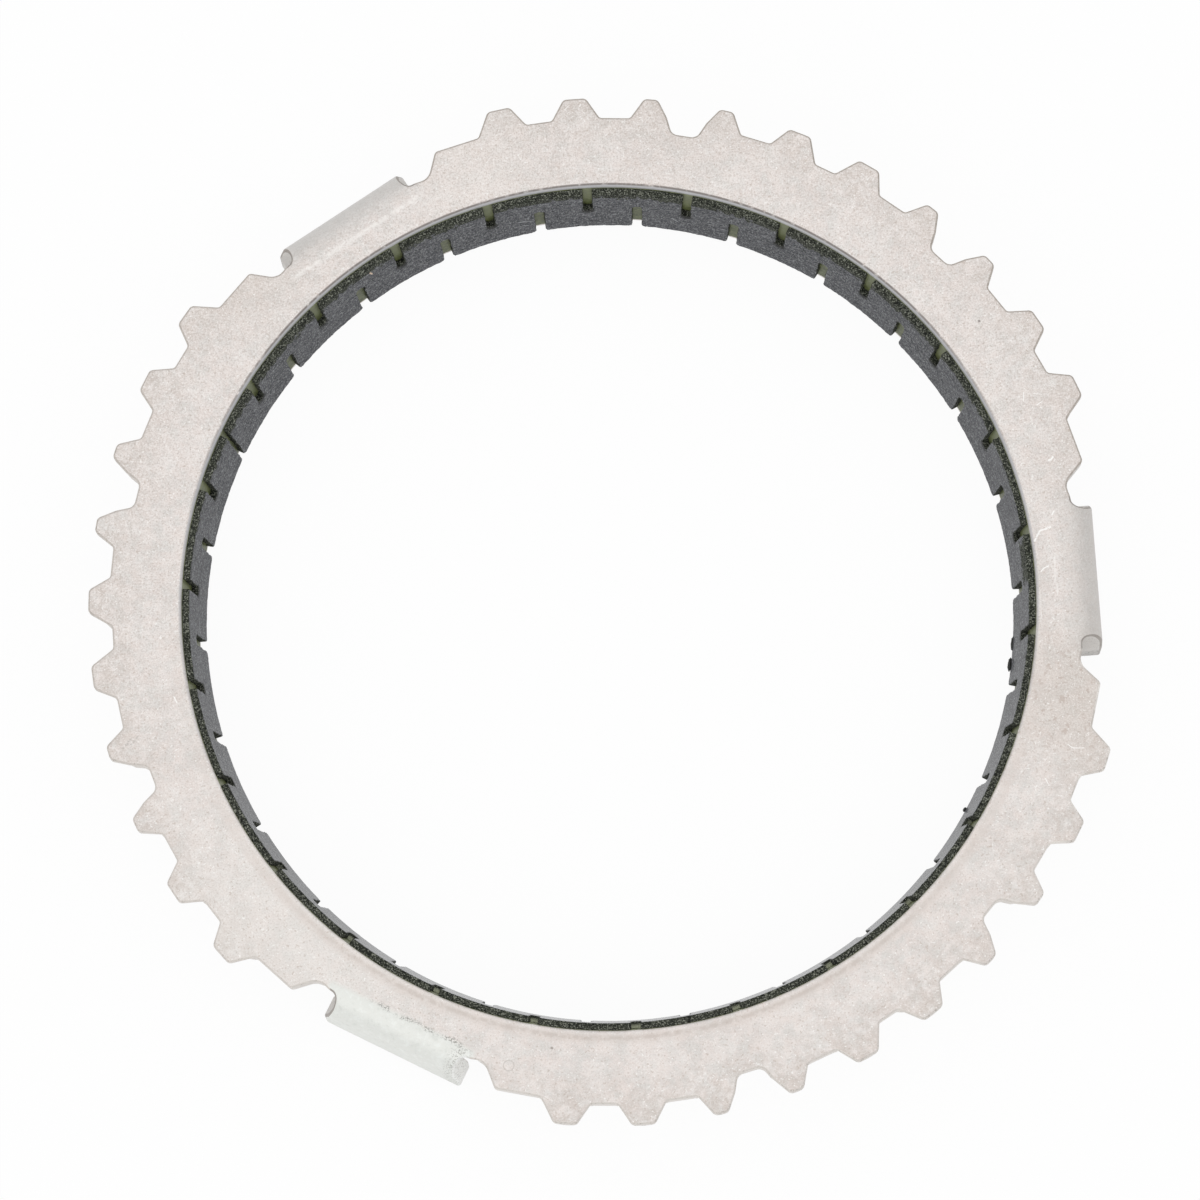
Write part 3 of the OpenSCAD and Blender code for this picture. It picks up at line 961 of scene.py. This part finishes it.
class Shader:
    """A material's nodes and its colour so far, with short calls. Lengths are in millimetres."""

    def __init__(self, name):
        self.material = bpy.data.materials.new(name)
        self.material.use_nodes = True
        self.tree = self.material.node_tree
        self.bsdf = self.tree.nodes["Principled BSDF"]
        self.colour = None
        metres = self.tree.nodes.new("ShaderNodeTexCoord").outputs["Object"]
        self.position = self.vector("MULTIPLY", metres, (1 / MM, 1 / MM, 1 / MM))
        self.flat = self.vector("MULTIPLY", self.position, (1, 1, 0))
        self.radius = self.measure("LENGTH", self.flat)
        self.height = self.measure("DOT_PRODUCT", self.position, (0, 0, 1))
        self.side = self.measure("DOT_PRODUCT", self.position, (0, 1, 0))

    def vector(self, operation, first, second):
        return wired(self.tree, "ShaderNodeVectorMath", first, second, operation=operation).outputs["Vector"]

    def measure(self, operation, first, second=(0, 0, 0)):
        """Number that comes from one or two vectors."""
        return wired(self.tree, "ShaderNodeVectorMath", first, second, operation=operation).outputs["Value"]

    def math(self, operation, first, second=0.0):
        return wired(self.tree, "ShaderNodeMath", first, second, operation=operation).outputs[0]

    def along(self, direction):
        """Distance from the ring's axis along a direction in degrees."""
        return self.measure("DOT_PRODUCT", self.flat, (*axis(direction), 0))

    def unrolled(self):
        """Position on the unrolled cone: along the strip, up and across it."""
        turn = self.math("ARCTAN2", self.side, self.along(0))
        strip = self.math("MULTIPLY", turn, UNROLL_RADIUS)
        return wired(self.tree, "ShaderNodeCombineXYZ", strip, self.height, self.radius).outputs[0]

    def noise(self, size, detail=2.0, roughness=0.5, stretch=(1, 1, 1), source=None, shift=0):
        """Noise whose features are about a size, longer where stretch is above 1."""
        scale = [1 / (size * part) for part in stretch]
        inputs = (source or self.position, scale, (shift, shift, shift))
        place = wired(self.tree, "ShaderNodeVectorMath", *inputs, operation="MULTIPLY_ADD")
        node = self.tree.nodes.new("ShaderNodeTexNoise")
        node.inputs["Scale"].default_value = 1
        node.inputs["Detail"].default_value = detail
        node.inputs["Roughness"].default_value = roughness
        connect(self.tree, place.outputs[0], node.inputs["Vector"])
        return node.outputs["Fac"]

    def window(self, value, low, high):
        """0 below low, 1 above high, even between; low may be the larger one."""
        return wired(self.tree, "ShaderNodeMapRange", value, low, high).outputs["Result"]

    def band(self, value, middle, half, fade):
        """1 within a half width of a middle, 0 beyond a fade from there."""
        off = self.math("ABSOLUTE", self.math("SUBTRACT", value, middle))
        return self.window(off, half + fade, half)

    def both(self, first, *others):
        """Product of masks."""
        for other in others:
            first = self.math("MULTIPLY", first, other)
        return first

    def either(self, masks):
        """Largest of some masks."""
        largest = masks[0]
        for mask in masks[1:]:
            largest = self.math("MAXIMUM", largest, mask)
        return largest

    def distance(self, place):
        """Distance from a place (x, y) of the front."""
        return self.measure("DISTANCE", self.flat, (*place, 0))

    def near(self, place, far, close):
        """1 up to a close distance from a place of the front, fading to 0 at a far one."""
        return self.window(self.distance(place), far, close)

    def near_line(self, points, width, source=None):
        """1 on a line of a width through points (x, y), 0 beside it."""
        source = source or self.flat
        masks = []
        for start, end in zip(points, points[1:]):
            run = Vector(end).to_3d() - Vector(start).to_3d()
            offset = self.vector("SUBTRACT", source, (*start, 0))
            share = self.window(self.measure("DOT_PRODUCT", offset, run / run.length_squared), 0, 1)
            gap = self.measure("DISTANCE", offset, self.vector("MULTIPLY", share, run))
            masks.append(self.window(gap, width * LINE_FADE, width * LINE_CORE))
        return self.either(masks)

    def near_lines(self, lines, source=None):
        return self.either([self.near_line(points, width, source) for points, width in lines])

    def tones(self, mask, low, high):
        """Starts the colour between two screen tones."""
        self.colour = mixed(self.tree, mask, srgb(*low), srgb(*high))

    def paint(self, mask, strength, tone):
        """Covers the colour with a screen tone where a mask is 1, at a strength."""
        cover = self.math("MULTIPLY", mask, strength)
        self.colour = mixed(self.tree, cover, self.colour, srgb(*tone))

    def cover(self, value, low, high, strength, tone, *masks):
        """Paints a screen tone that sets in where a value runs from low to high, inside masks."""
        self.paint(self.both(self.window(value, low, high), *masks), strength, tone)

    def bump(self, height, strength, distance):
        node = self.tree.nodes.new("ShaderNodeBump")
        node.inputs["Strength"].default_value = strength
        node.inputs["Distance"].default_value = distance * MM
        connect(self.tree, height, node.inputs["Height"])
        connect(self.tree, node.outputs[0], self.bsdf.inputs["Normal"])

    def surface(self, roughness, metallic=0.0, specular=0.5):
        connect(self.tree, self.colour, self.bsdf.inputs["Base Color"])
        connect(self.tree, roughness, self.bsdf.inputs["Roughness"])
        self.bsdf.inputs["Metallic"].default_value = metallic
        self.bsdf.inputs["Specular IOR Level"].default_value = specular
        return self.material


def sheet_tones(shader, patch):
    """Broad tones of the sheet: warmer and greyer clouds, browner towards the teeth, and stains."""
    broad = shader.noise(7, 3)
    cloud = shader.noise(2.2, 3, 0.55, shift=30)
    chroma = shader.noise(1.1, 3, 0.6, shift=60)
    shader.tones(shader.window(patch, 0.34, 0.66), (221, 213, 208), (237, 231, 227))
    shader.cover(broad, 0.42, 0.62, 0.5, (232, 223, 218))
    shader.cover(cloud, 0.5, 0.64, 0.4, (212, 205, 200))
    shader.cover(cloud, 0.5, 0.36, 0.4, (242, 237, 233))
    shader.cover(chroma, 0.5, 0.66, 0.45, (220, 219, 215))
    shader.cover(chroma, 0.5, 0.34, 0.4, (232, 219, 212))
    shader.cover(patch, 0.64, 0.4, 0.6, (203, 193, 185), shader.window(shader.radius, *BROWN_RIM))
    for x, y, size, strength, tone in STAINS:
        shader.paint(shader.near((x, y), size, size * STAIN_CORE), strength, tone)


def blasted_grain(shader, grain):
    """Light and dark grain of the blasted sheet, streaks at one place and brown flecks at another."""
    fleck = shader.noise(0.26, 1, shift=40)
    spark = shader.noise(0.2, 1, shift=80)
    streak = shader.noise(0.16, 2, 0.6, (1, 7, 1), shift=70)
    coarse = shader.noise(0.3, 2, 0.6, shift=5)
    brown = shader.noise(0.5, 2, 0.6, shift=110)
    upper = shader.window(shader.side, *COARSE_GRAIN_SIDE)
    softer = shader.math("MULTIPLY", shader.window(shader.side, *SOFT_GRAIN_SIDE), SOFT_GRAIN)
    full = shader.math("SUBTRACT", 1, softer)
    shader.cover(streak, 0.52, 0.68, 0.5, (196, 186, 180), shader.near(*STREAKED))
    shader.cover(coarse, 0.54, 0.7, 0.4, (246, 240, 237), upper)
    shader.cover(coarse, 0.46, 0.3, 0.45, (194, 183, 177), upper)
    shader.cover(grain, 0.52, 0.72, 0.65, (249, 245, 242), full)
    shader.cover(grain, 0.48, 0.28, 0.58, (190, 180, 172), full)
    shader.cover(brown, 0.56, 0.68, 0.6, (191, 175, 165), shader.near(*RUSTY))
    shader.cover(fleck, 0.64, 0.73, 0.45, (184, 168, 154))
    shader.cover(spark, 0.66, 0.74, 0.7, (255, 253, 250))


def lug_light_and_shade(shader):
    """Painted shade on the bends of the first two lugs, deeper towards their outsides, a lighter and cooler
    bend on the pale lug that is partly its own tone and partly painted light, and a painted highlight along
    one lug's crease.
    """
    patchy = shader.noise(0.5, 3, 0.6)
    # Painted shade darkens the first two lugs' bends towards their outsides; on the pale lug the lighter tone
    # is partly painted light
    for direction, tone, strength, first, last in LUG_LIGHT_AND_SHADE:
        out = shader.along(direction)
        width = shader.band(shader.along(direction + 90), *LUG_LIGHT_SPAN)
        bend = shader.window(out, BEND_START + first, BEND_START + last)
        shader.paint(shader.both(bend, width), strength, tone)
        if direction == CREASED_LUG:
            # Painted highlight: a bright, broken line along this lug's crease
            crease = shader.band(out, BEND_START - CREASE_INSET, 0.08, 0.25)
            shader.cover(patchy, 0.34, 0.6, 0.8, (247, 243, 239), crease, width)


def pale_lug_marks(shader):
    """Dark specks along the pale lug's crease, its scuffs and its rough end."""
    speck = shader.noise(0.16, 2, 0.6, shift=20)
    scuff = shader.noise(0.6, 3, 0.6, shift=55)
    wander = shader.math("MULTIPLY", shader.noise(1.2, 2, 0.5, shift=90), PALE_CREASE_WANDER)
    across = shader.along(PALE_LUG + 90)
    out = shader.math("ADD", shader.along(PALE_LUG), wander)
    drift = shader.math("SUBTRACT", out, shader.math("MULTIPLY", across, PALE_CREASE_SLOPE))
    line = shader.band(drift, BEND_START + PALE_CREASE, 0.06, 0.28)
    cluster = shader.window(shader.noise(1.1, 2, 0.5, shift=77), 0.4, 0.56)
    span = shader.band(across, *PALE_CREASE_SPAN)
    shader.cover(speck, 0.47, 0.58, 0.85, (120, 118, 111), cluster, line, span)
    past_crease = shader.window(drift, *PAST_PALE_CREASE)
    on_lug = shader.both(past_crease, shader.band(across, *PALE_LUG_SPAN))
    shader.cover(scuff, 0.54, 0.66, 0.5, (243, 245, 241), on_lug)
    shader.cover(scuff, 0.44, 0.3, 0.5, (214, 216, 210), on_lug)
    shader.cover(speck, 0.5, 0.66, 0.65, (140, 137, 130), on_lug, shader.band(across, *PALE_END_SPAN))


def mouth_shade_and_tints(shader):
    """Painted shade on the mouth's grey rounding and in the dark line where the flat front ends, both towards
    the upper side, and the warmer bands beside it.
    """
    wobble = shader.noise(0.6, 2)
    front = shader.window(shader.height, *MOUTH_FRONT)
    edge = MOUTH_RADIUS + MOUTH_ROUND
    # Painted shade: grey on the rounding and a dark line where the flat front ends
    rounding = shader.both(shader.window(shader.radius, edge, edge - 0.1), front)
    shader.cover(shader.side, *MOUTH_SHADE_SIDE, 0.85, (174, 175, 178), rounding)
    line = shader.both(shader.band(shader.radius, edge, 0.05, 0.1), front)
    upper = shader.window(shader.side, *MOUTH_SHADE_LINE_SIDE)
    shader.cover(wobble, 0.2, 0.45, 0.85, (108, 100, 96), line, upper)
    warm = shader.band(shader.radius, WARM_RADIUS, 0.3, 0.4)
    shader.cover(shader.side, *WARM_SIDE, 0.4, (220, 209, 202), warm)
    rubbed = shader.both(shader.band(shader.radius, RUBBED_RADIUS, 0.08, 0.25), front)
    lower = shader.window(shader.side, *RUBBED_SIDE)
    shader.cover(wobble, 0.3, 0.55, 0.55, (198, 187, 179), rubbed, lower)


def flange_marks(shader):
    """Scratches, smears and spots on the front at their places, and a darker ring of painted shade at the rim
    of a small dent.
    """
    front = shader.window(shader.height, *FLAT_FRONT)
    patchy = shader.both(shader.window(shader.noise(0.25, 2), 0.25, 0.42), front)
    broken = shader.noise(0.22, 2, 0.7, shift=66)
    shader.paint(shader.both(shader.near_lines(BRIGHT_SCRATCHES), patchy), 0.95, (255, 253, 250))
    shader.paint(shader.both(shader.near_lines(FAINT_STREAKS), patchy), 0.6, (248, 244, 240))
    shader.cover(broken, 0.42, 0.6, 0.6, (178, 174, 168), shader.near_lines(SMEAR), front)
    for x, y, size, tone in DARK_SPOTS:
        shader.paint(shader.both(shader.near((x, y), 2 * size, size), patchy), 0.8, tone)
    dent_shade = shader.band(shader.distance(RING_DENT), RING_DENT_RADIUS, 0.03, 0.05)
    shader.paint(shader.both(dent_shade, front), 0.5, (190, 183, 176))


def steel_material():
    shader = Shader("pressed_steel")
    grain = shader.noise(0.16, 2, 0.6)
    patch = shader.noise(0.8, 4, 0.65)
    sheet_tones(shader, patch)
    blasted_grain(shader, grain)
    lug_light_and_shade(shader)
    pale_lug_marks(shader)
    mouth_shade_and_tints(shader)
    flange_marks(shader)
    shader.bump(grain, 0.25, 0.012)
    roughness = mixed(shader.tree, patch, (0.42, 0.42, 0.42, 1), (0.56, 0.56, 0.56, 1))
    return shader.surface(roughness, metallic=0.3)


def sheared_material(name, low, high, on_lugs):
    """Edge of the sheet, streaked along its height by the die, with another tone round the lugs, painted
    light that makes it lighter on the lower and the left side, and broken painted highlights on the right.
    """
    shader = Shader(name)
    streak = shader.noise(0.2, 3, 0.6, (1, 1, 6))
    grain = shader.noise(0.15, 2)
    bright = shader.noise(1.8, 2, 0.5, shift=12)
    shader.tones(shader.window(streak, 0.35, 0.65), low, high)
    # Painted light: lighter edges on the lower and the left side, and broken painted highlights on the right
    # edges
    shader.cover(shader.side, *LIT_EDGE_SIDE, 0.75, (229, 223, 217))
    shader.cover(shader.along(180), *LIT_LEFT_EDGE, 0.45, (224, 217, 211))
    edge_highlight = shader.both(shader.window(bright, 0.44, 0.58), shader.window(shader.side, *HIGHLIGHT_EDGE_SIDE))
    shader.cover(shader.along(0), *HIGHLIGHT_EDGE_REACH, 0.7, (250, 245, 239), edge_highlight)
    shader.cover(streak, 0.5, 0.62, 0.5, (150, 140, 131), shader.window(shader.radius, *TIP_EDGE))
    lug_edges(shader, on_lugs)
    shader.cover(grain, 0.42, 0.28, 0.5, (150, 140, 132))
    shader.bump(streak, 0.3, 0.015)
    return shader.surface(0.45, metallic=0.3)


def lug_edges(shader, tone):
    """Tone of the lugs' edges, with the cracked end of the pale lug and the torn end of the first one."""
    cracks = shader.noise(0.24, 3, 0.7, shift=48)
    for direction in LUG_DIRECTIONS:
        across = shader.along(direction + 90)
        past_bend = shader.window(shader.along(direction), *LUG_EDGE_START)
        lug = shader.both(past_bend, shader.band(across, *LUG_EDGE_SPAN))
        shader.paint(lug, 0.75, tone)
        if direction == PALE_LUG:
            rough_end = shader.both(lug, shader.window(across, *ROUGH_END))
    shader.paint(rough_end, 0.9, (250, 251, 248))
    shader.cover(cracks, 0.52, 0.62, 0.5, (168, 165, 158), rough_end)
    beside = shader.band(shader.side, *FIRST_END_SPAN)
    first_end = shader.both(shader.window(shader.along(0), *END_FACE), beside)
    torn = shader.both(first_end, shader.window(shader.height, *TORN_END))
    shader.cover(shader.height, *SMOOTH_END, 0.5, (222, 220, 216), first_end)
    shader.paint(torn, 0.5, (182, 179, 174))
    shader.cover(cracks, 0.52, 0.62, 0.7, (120, 116, 110), torn)


def lining_face_material():
    """Fibrous friction face with scratches and one loose fibre, glossy only at a grazing look."""
    shader = Shader("friction_face")
    strip = shader.unrolled()
    flat = shader.vector("MULTIPLY", strip, (1, 1, 0))
    grain = shader.noise(0.12, 2, 0.7, (1.4, 2.8, 1), strip)
    fibre = shader.noise(0.3, 3, 0.65, (2.6, 1.3, 1), strip)
    streak = shader.noise(0.2, 2, 0.5, (6, 1.6, 1), strip, 30)
    speck = shader.noise(0.15, 2, 0.6, (1, 2, 1), strip, 33)
    cloud = shader.noise(2.2, 3)
    shader.tones(shader.window(fibre, 0.36, 0.64), (60, 61, 65), (95, 96, 100))
    shader.cover(cloud, 0.4, 0.65, 0.35, (100, 101, 104))
    shader.cover(streak, 0.6, 0.7, 0.55, (146, 147, 150))
    shader.cover(grain, 0.54, 0.66, 0.8, (154, 155, 157))
    shader.cover(grain, 0.46, 0.34, 0.85, (36, 37, 40))
    # Painted shade, with dark fray, at the inner ends of the front slots
    shader.paint(slot_shade(shader, strip), 0.85, (22, 23, 19))
    shader.cover(speck, 0.6, 0.7, 0.5, (160, 162, 156))
    shader.paint(shader.near_lines(LINING_SCRATCHES, flat), 0.8, (205, 207, 209))
    shader.paint(shader.near_line(*FIBRE_LINE, flat), 0.95, (232, 208, 184))
    shader.bump(fibre, 0.35, 0.03)
    shader.bsdf.inputs["Coat Weight"].default_value = 1
    shader.bsdf.inputs["Coat Roughness"].default_value = 0.12
    shader.bsdf.inputs["Coat IOR"].default_value = 1.03
    return shader.surface(0.7, specular=0.2)


def slot_shade(shader, strip):
    """Painted shade with dark fray round the inner ends of the front slots."""
    turn = shader.measure("DOT_PRODUCT", strip, (1, 0, 0))
    from_joint = shader.math("SUBTRACT", math.radians(JOINT_DIRECTION) * UNROLL_RADIUS, turn)
    wrapped = shader.math("FLOORED_MODULO", from_joint, STRIP_LENGTH)
    share = shader.math("DIVIDE", shader.math("SUBTRACT", wrapped, JOINT_ALLOWANCE / 2), SLOT_PITCH)
    aside = shader.math("MULTIPLY", shader.math("SUBTRACT", shader.math("FRACT", share), 0.5), SLOT_PITCH)
    above = shader.math("SUBTRACT", shader.height, FRONT_SLOT_END + SLOT_SHADE_FRAY_RISE)
    far = shader.math("SQRT", shader.math("ADD", shader.both(aside, aside), shader.both(above, above)))
    fuzz = shader.math("MULTIPLY", shader.noise(0.3, 2, 0.6, shift=17), SLOT_SHADE_FRAY_FUZZ)
    return shader.window(shader.math("ADD", far, fuzz), *SLOT_SHADE_FRAY)


def lining_edge_material():
    """Dark cut edge of the lining, with a pale glue tone on the slot end walls of the lower side, partly the
    glue's colour and partly painted light.
    """
    shader = Shader("friction_cut_edge")
    grain = shader.noise(0.135, 2, 0.65)
    tuft = shader.noise(0.4, 2, shift=15)
    shader.tones(shader.window(tuft, 0.4, 0.6), (30, 33, 28), (54, 57, 48))
    shader.cover(grain, 0.52, 0.68, 0.85, (156, 158, 146))
    shader.cover(grain, 0.44, 0.32, 0.8, (12, 13, 11))
    # Painted light, partly the glue's colour: the end walls of the lower slots are pale
    slot_end = shader.band(shader.height, *SLOT_END_SPAN)
    deep = shader.window(shader.radius, *GLUE_AND_LIGHT_RADIUS)
    shader.cover(shader.side, *GLUE_AND_LIGHT_SIDE, 0.9, (222, 226, 200), slot_end, deep)
    shader.bump(grain, 0.7, 0.04)
    return shader.surface(0.85, specular=0.2)


def glue_material():
    """Olive glue, lighter towards the front."""
    shader = Shader("glue")
    patch = shader.noise(0.35, 3)
    grain = shader.noise(0.12, 2, shift=25)
    shader.tones(shader.window(patch, 0.35, 0.65), (78, 84, 48), (112, 119, 76))
    shader.cover(grain, 0.44, 0.3, 0.7, (48, 52, 30))
    shader.cover(shader.height, *LIGHT_GLUE, 0.5, (140, 146, 106))
    shader.bump(patch, 0.3, 0.03)
    return shader.surface(0.42, specular=0.28)


def plain_material(name, low, high, size, roughness):
    """Finely uneven material between two screen tones."""
    shader = Shader(name)
    patch = shader.noise(size, 3)
    shader.tones(shader.window(patch, 0.35, 0.65), low, high)
    shader.bump(patch, 0.5, 0.03)
    return shader.surface(roughness)


# Stage

def add_camera():
    """Camera at the photograph's place, from the fitted turns and distance."""
    turn = Matrix.Rotation(CAMERA_TURN_Y, 3, "Y") @ Matrix.Rotation(CAMERA_TURN_X, 3, "X")
    turn = turn @ Matrix.Rotation(CAMERA_TURN_Z, 3, "Z")
    data = bpy.data.cameras.new("camera")
    data.sensor_width = SENSOR
    data.lens = CAMERA_FOCAL_PIXELS * SENSOR / IMAGE_SIZE
    data.clip_start = CAMERA_CLIP * MM
    camera = bpy.data.objects.new("camera", data)
    bpy.context.scene.collection.objects.link(camera)
    back = turn.inverted()
    seat = back @ Vector((-CAMERA_SHIFT[0], -CAMERA_SHIFT[1], CAMERA_DISTANCE))
    seat.z += CAMERA_AIM_HEIGHT
    camera.matrix_world = Matrix.Translation(seat * MM) @ back.to_4x4()
    bpy.context.scene.camera = camera


def floor_material():
    """Matt pale floor that keeps the shadow, nearly white to the camera and in reflections."""
    material = bpy.data.materials.new("floor")
    material.use_nodes = True
    tree = material.node_tree
    tree.nodes.remove(tree.nodes["Principled BSDF"])
    diffuse = wired(tree, "ShaderNodeBsdfDiffuse", FLOOR_COLOUR)
    white = wired(tree, "ShaderNodeEmission")
    rays = wired(tree, "ShaderNodeLightPath").outputs
    seen = wired(tree, "ShaderNodeMath", rays["Is Camera Ray"], rays["Is Glossy Ray"], operation="MAXIMUM")
    share = wired(tree, "ShaderNodeMath", seen.outputs[0], FLOOR_WHITE, operation="MULTIPLY")
    blend = wired(tree, "ShaderNodeMixShader", share.outputs[0], diffuse.outputs[0], white.outputs[0])
    connect(tree, blend.outputs[0], tree.nodes["Material Output"].inputs["Surface"])
    return material


def add_floor():
    half = FLOOR_HALF * MM
    low = -FLOOR_GAP * MM
    corners = [(-half, -half, low), (half, -half, low), (half, half, low), (-half, half, low)]
    mesh = bpy.data.meshes.new("floor")
    mesh.from_pydata(corners, [], [(0, 1, 2, 3)])
    mesh.materials.append(floor_material())
    floor = bpy.data.objects.new("floor", mesh)
    bpy.context.scene.collection.objects.link(floor)


def add_world():
    """Soft studio light, darker near the horizon, on a background that the camera sees white."""
    world = bpy.data.worlds.new("studio")
    bpy.context.scene.world = world
    world.use_nodes = True
    tree = world.node_tree
    directions = wired(tree, "ShaderNodeTexCoord").outputs["Generated"]
    up = wired(tree, "ShaderNodeSeparateXYZ", directions).outputs["Z"]
    rise = wired(tree, "ShaderNodeMapRange", up, 0, SKY_RISE).outputs["Result"]
    sky = tree.nodes["Background"]
    sky.inputs["Strength"].default_value = 1
    connect(tree, mixed(tree, rise, HORIZON_COLOUR, WHITE), sky.inputs["Color"])
    seen_sky = wired(tree, "ShaderNodeBackground", WHITE)
    rays = wired(tree, "ShaderNodeLightPath").outputs
    blend = wired(tree, "ShaderNodeMixShader", rays["Is Camera Ray"], sky.outputs[0], seen_sky.outputs[0])
    connect(tree, blend.outputs[0], tree.nodes["World Output"].inputs["Surface"])


def add_light(name, place, size, power):
    """Square area light aimed at the ring."""
    data = bpy.data.lights.new(name, "AREA")
    data.size = size
    data.energy = power
    light = bpy.data.objects.new(name, data)
    bpy.context.scene.collection.objects.link(light)
    light.location = place
    light.rotation_euler = (-light.location).to_track_quat("-Z", "Y").to_euler()


def add_piece(draft, name, materials, replaced=None):
    piece = draft.object(name, materials)
    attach(piece, "root")
    if replaced:
        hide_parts(replaced)


bpy.context.scene.view_settings.view_transform = "Standard"
add_camera()
add_floor()
add_world()
add_light("key", KEY_PLACE, KEY_SIZE, KEY_POWER)

# The rolled edges' darker, browner tones, deepest round the lugs, are partly their own and partly painted
# shade of the outlines
rolled_material = sheared_material("rolled_edge", (172, 162, 153), (198, 190, 182), (138, 131, 125))
wall_material = sheared_material("sheared_wall", (205, 199, 194), (222, 218, 213), (206, 203, 199))
ring_materials = [steel_material(), rolled_material, wall_material]
add_piece(ring_body_draft(), "pressed_ring", ring_materials, "ring_body")

lining_materials = [lining_face_material(), lining_edge_material()]
add_piece(lining_draft(), "lining_strip", lining_materials, "friction_lining")

lump_material = plain_material("hard_glue", (22, 23, 22), (52, 53, 50), 0.2, 0.6)
add_piece(glue_draft(), "glue_film", [glue_material(), lump_material])
